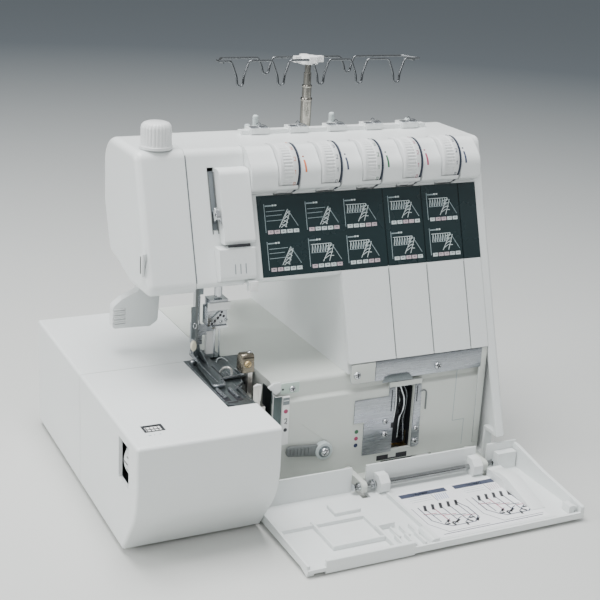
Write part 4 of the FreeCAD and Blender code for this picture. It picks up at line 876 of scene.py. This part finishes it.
# Thin dark sheet under the head above the clamp: painted shade.
guard.box((105, 131), (133, 160), (183.2, 183.9), DARK_PLASTIC_AND_SHADE, 0.1)
for x, z in ((108.5, 176.5), (113.4, 177.4), (121.5, 178.6)):
    guard.lathe("Z", (x, 136.5, 0), [(0, z), (1.4, z), (1.4, z + 6), (0, z + 6)], CHROME,
                20)
guard.tube(smooth_path([(109, 134, 182.5), (112, 132.5, 178.6), (116, 132.2, 177.6),
                        (121, 132.5, 179), (124, 134, 182.5)], 3), 0.55, CHROME, 8)
guard.done("threader_guard", "machine")

# ---- knives

knife = Build()
knife.prism("X", [(85.6, 113.6), (97.4, 113.0), (98.2, 116), (97.6, 126.6), (95.2, 129.6),
                  (88.6, 130.2), (85.8, 127.6)], 117.6, 129.2, BRONZE, 1.5)
knife.screw((122.8, 85.6, 121.8), 3.0, BRASS, False, (0, -1, 0.05), 0.7)
knife.screw((126.4, 91, 129.8), 1.9, CHROME, True, (0, 0, 1))
knife.box((124.4, 128.3), (88.2, 92.8), (68, 116), PALE_STEEL, 0.4)
knife.box((124.4, 140.6), (88.2, 92.8), (66.2, 71.8), PALE_STEEL, 0.5)
knife.prism("X", [(93.0, 105.9), (94.5, 107.4), (94.5, 118), (93.0, 118)], 125.0, 128.2,
            PALE_STEEL, 0.15)
knife.done("upper_knife_block", "knife_carrier", ["upper_knife"])

tab = Build()
tab.prism("Y", [(125.4, 90.5), (127.2, 89.5), (131.2, 89.6), (132.6, 91.2), (133.2, 101.0)] +
          arc((129.3, 102.4), 4.0, 0, 180, 10) + [(125.3, 101.0)], 78.6, 80.2, PALE_STEEL, 0.5)
tab.tube(smooth_path([(126.5, 78.7, 104.6), (129.4, 78.2, 105.6), (132.2, 78.7, 104.6)], 2),
         0.85, WHITE, 8)
tab.done("lower_knife_tab", "machine")

# ---- feed and needle plate detail

feed = Build()
for x in (97.5, 103.5, 109.5):
    for k in range(15):
        y = 112.4 + 1.62 * k
        feed.prism("X", [(y, 103.0), (y + 1.5, 103.0), (y + 0.5, 103.9)], x - 1.0, x + 1.0,
                   PLATE, 0)
feed.done("feed_teeth", "feed_carrier")

plate = Build()
for x, y0, y1 in ((95.2, 63.5, 79.5), (105.0, 62.0, 78.0)):
    # Black patch under each finger rod: painted shadow.
    plate.box((x - 2.6, x + 2.9), (y0 - 4.5, y1), (BED - 0.08, BED + 0.06), BLACK_INK_AND_SHADE, 0)
    plate.tube([(x, y0 - 0.5, 104.8), (x - 0.2, y1 + 3, 104.8)], 1.5, PLATE, 12)
# Black patch in front of the fingers: painted shade in the feed slot.
plate.box((93.4, 102.4), (54.6, 56.9), (BED - 0.08, BED + 0.08), BLACK_INK_AND_SHADE, 0)
plate.tube([(92.3, 60, 104.1), (92.0, 105, 104.1), (92.2, 143, 104.1)], 0.5, PLATE, 8)
plate.tube([(109.4, 79, 104.2), (120.2, 91.0, 104.2), (121.6, 96, 104.2)], 0.7, PLATE, 8)
plate.box((112.2, 113.0), (52.6, 90), (103.9, 104.2), PLATE, 0.1)
plate.screw((98.5, 146.6, 103.9), 2.2, CHROME, True, (0, 0, 1))
plate.done("plate_fingers", "machine")

# ---- looper opening and the face

face = Build()
face.prism("Y", [(231, 25), (260.0, 25), (260.0, 86), (254, 86), (254, 78.5), (221.4, 78.5),
                 (220.8, 77.9), (220.8, 57), (231, 57)], PLATE_NEAR, FACE, PLATE, 0.25)
face.prism("Y", [(280.0, 26), (286, 26), (288, 28), (286.4, 85), (285, 86), (280.0, 86)],
           PLATE_NEAR, FACE, PLATE, 0.25)
face.prism("Y", [(238.7, 94.6), (346, 94.6), (346, 112.7), (238.7, 112.7)],
           PLATE_NEAR - 0.1, FACE, PLATE, 0.25)
face.prism("Y", arc((218.5, 98.6), 4.0, 180, 270, 5) + [(238.3, 94.6), (238.3, 112.7),
                                                       (214.5, 112.7)], PLATE_NEAR - 0.3, FACE,
           SHELL_WARM, 0.35)
face.prism("Y", [(245.5, 92.2), (276.5, 92.2), (272.5, 98.2), (270, 99.4), (251, 99.4),
                 (248, 98.2)], 76.2, 77.2, DARK_STEEL, 0.3)
face.prism("Y", [(254, 86), (287, 86), (287, 91.4), (254, 91.4)], 77.4, 80.5, SHELL_WARM, 0.4)
face.box((256.4, 257.2), (76.4, 77), (64, 84), BLACK_INK_AND_SHADE, 0)
face.box((281.6, 282.4), (76.4, 77), (70, 85), BLACK_INK_AND_SHADE, 0)
face.prism("Y", [(260.0, 48), (257.8, 48), (257.8, 53), (260.0, 53)], 76.5, 77, BLACK_INK_AND_SHADE, 0)
face.box((220.4, 231), (76.6, 77.9), (56.4, 57.0), SHELL_WARM, 0)
for x, z, r in ((220.5, 102.5, 3.4), (300.5, 101.5, 3.4), (252, 55, 2.7), (252, 43, 2.9),
                (283.6, 44, 2.5), (283, 32, 2.7)):
    face.screw((x, 76.7, z), r, CHROME, True, (0, -1, 0), 0.3 + 0.05 * x)
for z, look in ((48.7, INK_GREEN), (42.3, INK_RED), (35.8, INK_NAVY)):
    face.disc(224.6, FACE + 0.05, z, 1.9, look)
hook = [(284.5, 77.4, 79.0), (289.5, 77.4, 79.6), (291.8, 77.4, 78.2), (292.2, 77.4, 74),
        (292.2, 77.4, 61)]
face.tube(smooth_path(hook, 3), 0.75, GREY, 8)
face.tube([(285.0, 77.4, 72), (285.2, 77.4, 67.5)], 0.6, GREY, 8)
seam = [(322.4, 94), (322.4, 45), (334.4, 45), (334.4, 20)]
for one, two in zip(seam, seam[1:]):
    x = sorted((one[0], two[0]))
    z = sorted((one[1], two[1]))
    face.box((x[0] - 0.22, x[1] + 0.22), (77.93, 78.2), (z[0] - 0.22, z[1] + 0.22), INK_GREY, 0)
face.prism("Y", [(345.5, 20), (352, 20), (352, 113), (344.0, 113)], 77.2, 78.4, SHELL_WARM, 0.3)
face.prism("Y", [(246.5, 22), (258, 22), (258, 18.5), (266, 18.5), (266, 22), (277, 22),
                 (277, 17.3), (246.5, 17.3)], 77.7, 78.3, BLACK_INK_AND_SHADE, 0)
face.box((251, 303), (84.6, 85.2), (9, 17), DARK_PLASTIC_AND_SHADE, 0)
face.done("face_plates_detail", "machine", ["looper_plates", "cover_screws"])

inside = Build()
# Dark back and side sheets in the looper opening: painted shade of the cavity.
inside.box((258, 282), (92.5, 93.2), (24, 90), DARK_PLASTIC_AND_SHADE, 0)
for x in (257.8, 281.6):
    inside.box((x, x + 0.6), (80, 93), (24, 90), DARK_PLASTIC_AND_SHADE, 0)
inside.tube(smooth_path([(265.5, 86, 84), (266.5, 85.5, 66), (264.0, 84, 52), (262.6, 84, 44)],
                        9), 0.95, CHROME, 10)
inside.tube(smooth_path([(268.5, 86, 86), (274.4, 84, 70), (273.4, 84, 60), (270.0, 84, 54),
                         (269.6, 85, 33)], 9), 0.85, CHROME, 10)
inside.tube(smooth_path([(271, 87, 86.4), (276.5, 85, 78), (277.2, 85, 66), (274.0, 85, 48)],
                        8), 0.7, WIRE, 10)
inside.prism("X", [(84, 30), (91, 30), (91, 56), (87, 52)], 275.2, 276.8, PLATE, 0.3)
inside.done("looper_wires", "machine")

# ---- knife well, its corner plates and the colour dots

well = Build()
well.prism("Y", [(139.4, 100.5), (144.8, 103.9), (151.2, 103.9), (151.2, 96.4), (146.8, 92.8),
                 (144.6, 95.0)], 79.8, 82.3, SHELL, 0.5)
well.prism("X", [(78.2, 60), (96, 60), (96, 101), (84, 101), (78.2, 94)], 143.1, 143.7,
           GREEN_GREY, 0.2)
well.prism("Y", [(143.4, 55), (151.6, 52), (151.6, 92.6), (145.6, 92.6), (143.4, 95)], 77.5, 79,
           GREEN_GREY, 0.35)
well.box((152.0, 158.6), (77.2, 79), (48, 91.6), WHITE, 0.4)
well.box((152.4, 158.2), (76.9, 77.4), (84.6, 90.8), DARK_STEEL, 0.2)
well.box((152.8, 157.8), (76.8, 77), (88.0, 88.8), CHROME, 0)
well.disc(155.3, 77.25, 78.6, 1.9, INK_RED, 0.2, 0.2, 24)
well.disc(155.5, 77.25, 61.6, 1.7, BLACK_INK_AND_SHADE, 0.2, 0.2, 24)
well.tube([(154.2, 77.1, 71.5), (156.4, 77.1, 72), (156.6, 77.1, 69.6), (154.4, 77.1, 67.6),
           (156.8, 77.1, 67.2)], 0.35, BLACK_INK_AND_SHADE, 6)
well.prism("Y", [(151.4, 92.4), (168, 92.4), (169, 93.6), (169, 102.6), (152.6, 102.6),
                 (151.4, 101.4)], 80.9, 82.3, PALE_GREEN, 0.4)
well.screw((162, 81.0, 96.6), 2.9, CHROME, True)
well.disc(153.4, 80.95, 97.0, 1.0, BLACK_INK_AND_SHADE, 0.1, 0.1, 20)
well.box((142.2, 142.8), (79, 96.6), (40, 98), GREEN_GREY, 0)
# Thin dark sheet at the back of the opening behind the knife well: painted shade.
well.box((116, 143), (150.0, 150.3), (21, 101), DARK_PLASTIC_AND_SHADE, 0)
well.prism("Y", [(171.1, 64.4), (171.6, 63.4), (193.9, 45.8), (193.4, 46.8)], 77.9, 78.1, INK_GREY,
           0)
well.tube([(171.3, 77.9, 64), (193.6, 77.9, 46.4)], 0.32, SHELL_WARM, 8)
well.done("well_trim", "machine")

lever = Build()
lever.prism("Y", [(157.6, 37.4), (190, 33.0), (196.4, 33.5), (199.0, 38.5), (196.4, 43.2),
                  (160, 46.0), (157.4, 44.5), (156.6, 40.4)], 73.7, 77.5, GREY, 0.8)
for k in range(6):
    x = 159.6 + 3.4 * k
    lever.box((x, x + 1.5), (72.9, 74.1), (38.4 - 0.42 * k, 44.6 - 0.2 * k), GREY, 0.35)
lever.lathe("Y", (191.5, 73.6, 38), [(0, -1.2), (7.2, -1.2), (8, -0.5), (8, 3.9), (4, 3.9),
                                     (4, 12), (0, 12)], PIN, 40)
lever.disc(191.5, 72.3, 38, 5.4, DARK_STEEL, 0.1, 0.6, 36)
lever.screw((191.5, 72.2, 38), 3.9, CHROME, False, (0, -1, 0), 0.9)
lever.done("selector_ribbed", "selector", ["selector_lever"])

# ---- looper cover: label, ribs and hinge clips

label = Build()
FLOOR = 6.62
label.prism("Z", [(244.5, 34.4), (347.5, 34.4), (347.5, -42.4), (240.6, -42.4), (237.6, -39.4),
                  (237.6, 27.6)], FLOOR, FLOOR + 0.14, PAPER, 0)
INK_TOP = FLOOR + 0.15


def flat_line(a, b, width, look):
    stroke(label, a, b, width, look, Matrix.Translation((0, 0, INK_TOP)), 0.06)


def threading_chart(x0, stripes):
    """One printed threading chart: title bar, key lines, outline of the machine, thread paths."""
    flat_line((x0, 28.2), (x0 + 39, 28.2), 6.4, INK_SLATE)
    flat_line((x0 + 18, 28.2), (x0 + 23, 28.2), 1.6, INK_WHITE)
    flat_line((x0 + 11, 28.2), (x0 + 16, 28.2), 1.0, INK_GREY)
    for k in range(3):
        flat_line((x0 + 2, 22.4 - 3.2 * k), (x0 + 22, 22.4 - 3.2 * k), 0.35, INK_GREY)
    for k in range(6):
        flat_line((x0 + 26 + 2.1 * k, 13.8), (x0 + 28 + 2.1 * k, 22.8), 0.7,
                  stripes)
    flat_line((x0 + 25, 12), (x0 + 25, 24), 0.5, INK_SLATE)
    frame_line = [(x0 - 4, 7), (x0 - 4, -20), (x0 + 6, -36), (x0 + 45, -36)]
    for one, two in zip(frame_line, frame_line[1:]):
        flat_line(one, two, 0.5, INK_SLATE)
    sketch = [(x0 + 2, 6.5), (x0 + 2, -16), (x0 + 8, -24), (x0 + 14, -29), (x0 + 36, -29),
              (x0 + 43, -22), (x0 + 43, -6), (x0 + 38, 6.6)]
    for one, two in zip(sketch, sketch[1:]):
        flat_line(one, two, 1.0, INK_SLATE)
    for k in range(5):
        x = x0 + 6 + 7.6 * k
        flat_line((x, 1.0), (x + 2.8, 7.4), 2.6, BLACK_INK_AND_SHADE)
        flat_line((x + 1, 1.0), (x + 2.4, -20 - 1.6 * k), 0.9,
                  INK_SLATE if k != 1 else INK_RED)
        flat_line((x - 5, -5 - 3.0 * k), (x + 6, -6.2 - 3.0 * k), 0.9,
                  INK_SLATE if k % 2 else INK_RED)
    for k in range(9):
        angle = 0.9 * k
        middle = (x0 + 10 + 3.6 * k, -25 + 3.4 * math.sin(2.1 * k))
        flat_line(middle, (middle[0] + 3.2 * math.cos(angle), middle[1] + 3.2 * math.sin(angle)),
                  1.9, BLACK_INK_AND_SHADE)
        flat_line((middle[0], middle[1] + 1.6), (middle[0] + 4.2, middle[1] + 4.0), 0.8,
                  INK_SLATE)


threading_chart(246.0, INK_BLUE)
threading_chart(299.5, INK_PINK)
flat_line((246, -38.6), (342, -38.6), 0.8, INK_SLATE)
label.done("cover_label", "cover_door")

trim = Build()
trim.box((233.0, 235.6), (-47.8, 34), (6.55, 10.4), SHELL, 0.5)
trim.prism("Z", [(150, -30), (196, -30), (196, -27.6), (152.4, -27.6), (152.4, 12), (150, 12)],
           6.5, 10.6, SHELL, 0.5)
trim.prism("Z", [(196, -47), (198.4, -47), (198.4, -14), (214, -14), (214, -11.6), (196, -11.6)],
           6.5, 11.2, SHELL, 0.5)
trim.prism("Z", [(176, 18), (200, 18), (200, 20.2), (178.2, 20.2), (178.2, 34), (176, 34)], 6.5,
           9.8, SHELL, 0.5)
trim.box((236, 350), (-46.6, -44.4), (6.55, 7.6), SHELL, 0.4)
for k in range(3):
    trim.box((206.5 + 8.5 * k, 208.3 + 8.5 * k), (-34, -18), (6.5, 10.2), SHELL, 0.4)
trim.prism("Y", [(227.5, 6.5), (233.0, 6.5), (233.0, 10.6), (229.5, 10.6)], -47.8, -26, SHELL,
           0.5)
trim.prism("X", [(-30, 6.5), (36, 6.5), (36, 13.5), (20, 17.5), (8, 17.5), (-30, 7.2)], 337.4,
           351.0, SHELL, 1.3)
trim.box((352, 371.5), (44, 51.8), (6.5, 22), SHELL, 0.8)
trim.done("cover_ribs", "cover_door")

hinge = Build()
for x, side in ((208.6, -1), (347.4, 1)):
    hinge.lathe("X", (x, 47.5, 13), [(0, 0), (1.6, 0), (3.3, side * 0.6), (3.3, side * 1.3),
                                     (2.2, side * 1.6), (0, side * 1.7)], CHROME, 28)
for x in (224.6, 226.6, 336.4, 338.6):
    hinge.lathe("X", (x, 47.5, 13), [(2.5, 0), (4.2, 0), (4.2, 0.9), (2.5, 0.9)], CHROME, 24)
hinge.lathe("X", (212, 47.5, 13), [(2.5, 0), (3.6, 0), (3.6, 4.4), (2.5, 4.4)], CHROME, 24)
hinge.done("hinge_clips", "machine")

# ---- floor, light and camera

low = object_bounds()[0]
centre = place(40, 60, 0)

# The floor colour is a painted pool of light: bright around the machine, darker with distance from
# it.
floor_mat, tree, bsdf = new_material("studio_floor_painted_light_pool")
distance = tree.nodes.new("ShaderNodeVectorMath")
distance.operation = "LENGTH"
offset = tree.nodes.new("ShaderNodeVectorMath")
offset.operation = "SUBTRACT"
offset.inputs[1].default_value = (centre.x, centre.y, centre.z)
tree.links.new(coordinates(tree), offset.inputs[0])
tree.links.new(offset.outputs["Vector"], distance.inputs[0])
light_pool_falloff = tree.nodes.new("ShaderNodeMapRange")
light_pool_falloff.inputs["From Min"].default_value = 0.15
light_pool_falloff.inputs["From Max"].default_value = 2.9
tree.links.new(distance.outputs["Value"], light_pool_falloff.inputs["Value"])
shade = tree.nodes.new("ShaderNodeValToRGB")
shade.color_ramp.elements[0].position = 0.0
shade.color_ramp.elements[0].color = (0.60, 0.61, 0.59, 1)
shade.color_ramp.elements[1].position = 1.0
shade.color_ramp.elements[1].color = (0.19, 0.215, 0.235, 1)
tree.links.new(light_pool_falloff.outputs["Result"], shade.inputs["Fac"])
tree.links.new(shade.outputs["Color"], bsdf.inputs["Base Color"])
bsdf.inputs["Roughness"].default_value = 0.8
bsdf.inputs["Specular IOR Level"].default_value = 0.1
bm = bmesh.new()
HALF_FLOOR = 40.0
corners = [bm.verts.new((centre.x + a * HALF_FLOOR, centre.y + b * HALF_FLOOR, low.z - 0.0002))
           for a, b in ((-1, -1), (1, -1), (1, 1), (-1, 1))]
bm.faces.new(corners)
mesh = bpy.data.meshes.new("floor")
bm.to_mesh(mesh)
bm.free()
mesh.materials.append(floor_mat)
floor = bpy.data.objects.new("floor", mesh)
bpy.context.scene.collection.objects.link(floor)


def area_light(name, where, aim, power, wide, colour=(1, 1, 1)):
    lamp = bpy.data.lights.new(name, "AREA")
    lamp.energy = power
    lamp.size = wide
    lamp.color = colour
    obj = bpy.data.objects.new(name, lamp)
    obj.location = where
    obj.rotation_euler = (Vector(aim) - Vector(where)).to_track_quat("-Z", "Y").to_euler()
    bpy.context.scene.collection.objects.link(obj)


heart = place(190, 118, 150)
area_light("top_light", heart + Vector((-0.25, 0.1, 1.7)), heart, 50, 1.1)
area_light("front_light", heart + Vector((-1.2, -1.6, 1.2)), heart, 15, 0.9)
area_light("right_light", heart + Vector((1.7, -0.9, 0.9)), heart, 4, 1.2)
area_light("left_light", heart + Vector((-1.8, 0.3, 0.8)), heart, 22, 1.0)

world = bpy.data.worlds.new("studio")
bpy.context.scene.world = world
world.use_nodes = True
tree = world.node_tree
split = tree.nodes.new("ShaderNodeSeparateXYZ")
tree.links.new(tree.nodes.new("ShaderNodeTexCoord").outputs["Generated"],
               split.inputs["Vector"])
sky = tree.nodes.new("ShaderNodeValToRGB")
for spot, position, level in ((0, 0.0, 0.05), (1, 0.75, 0.95)):
    sky.color_ramp.elements[spot].position = position
    sky.color_ramp.elements[spot].color = (0.95 * level, 0.98 * level, level, 1)
tree.links.new(split.outputs["Z"], sky.inputs["Fac"])
tree.links.new(sky.outputs["Color"], tree.nodes["Background"].inputs["Color"])
tree.nodes["Background"].inputs["Strength"].default_value = 0.7

lens = bpy.data.cameras.new("camera")
lens.sensor_width = 36.0
lens.lens = 73.86
lens.shift_x = 2.0 / 600
lens.clip_end = 60.0
camera = bpy.data.objects.new("camera", lens)
right = Vector((0.9021, -0.4286, 0.0502))
down = Vector((-0.0963, -0.3133, -0.9448))
ahead = Vector((0.4207, 0.8474, -0.3239))
camera.matrix_world = axes_matrix(right, -down, -ahead, place(-257.8, -766.6, 498.7))
bpy.context.scene.collection.objects.link(camera)
bpy.context.scene.camera = camera
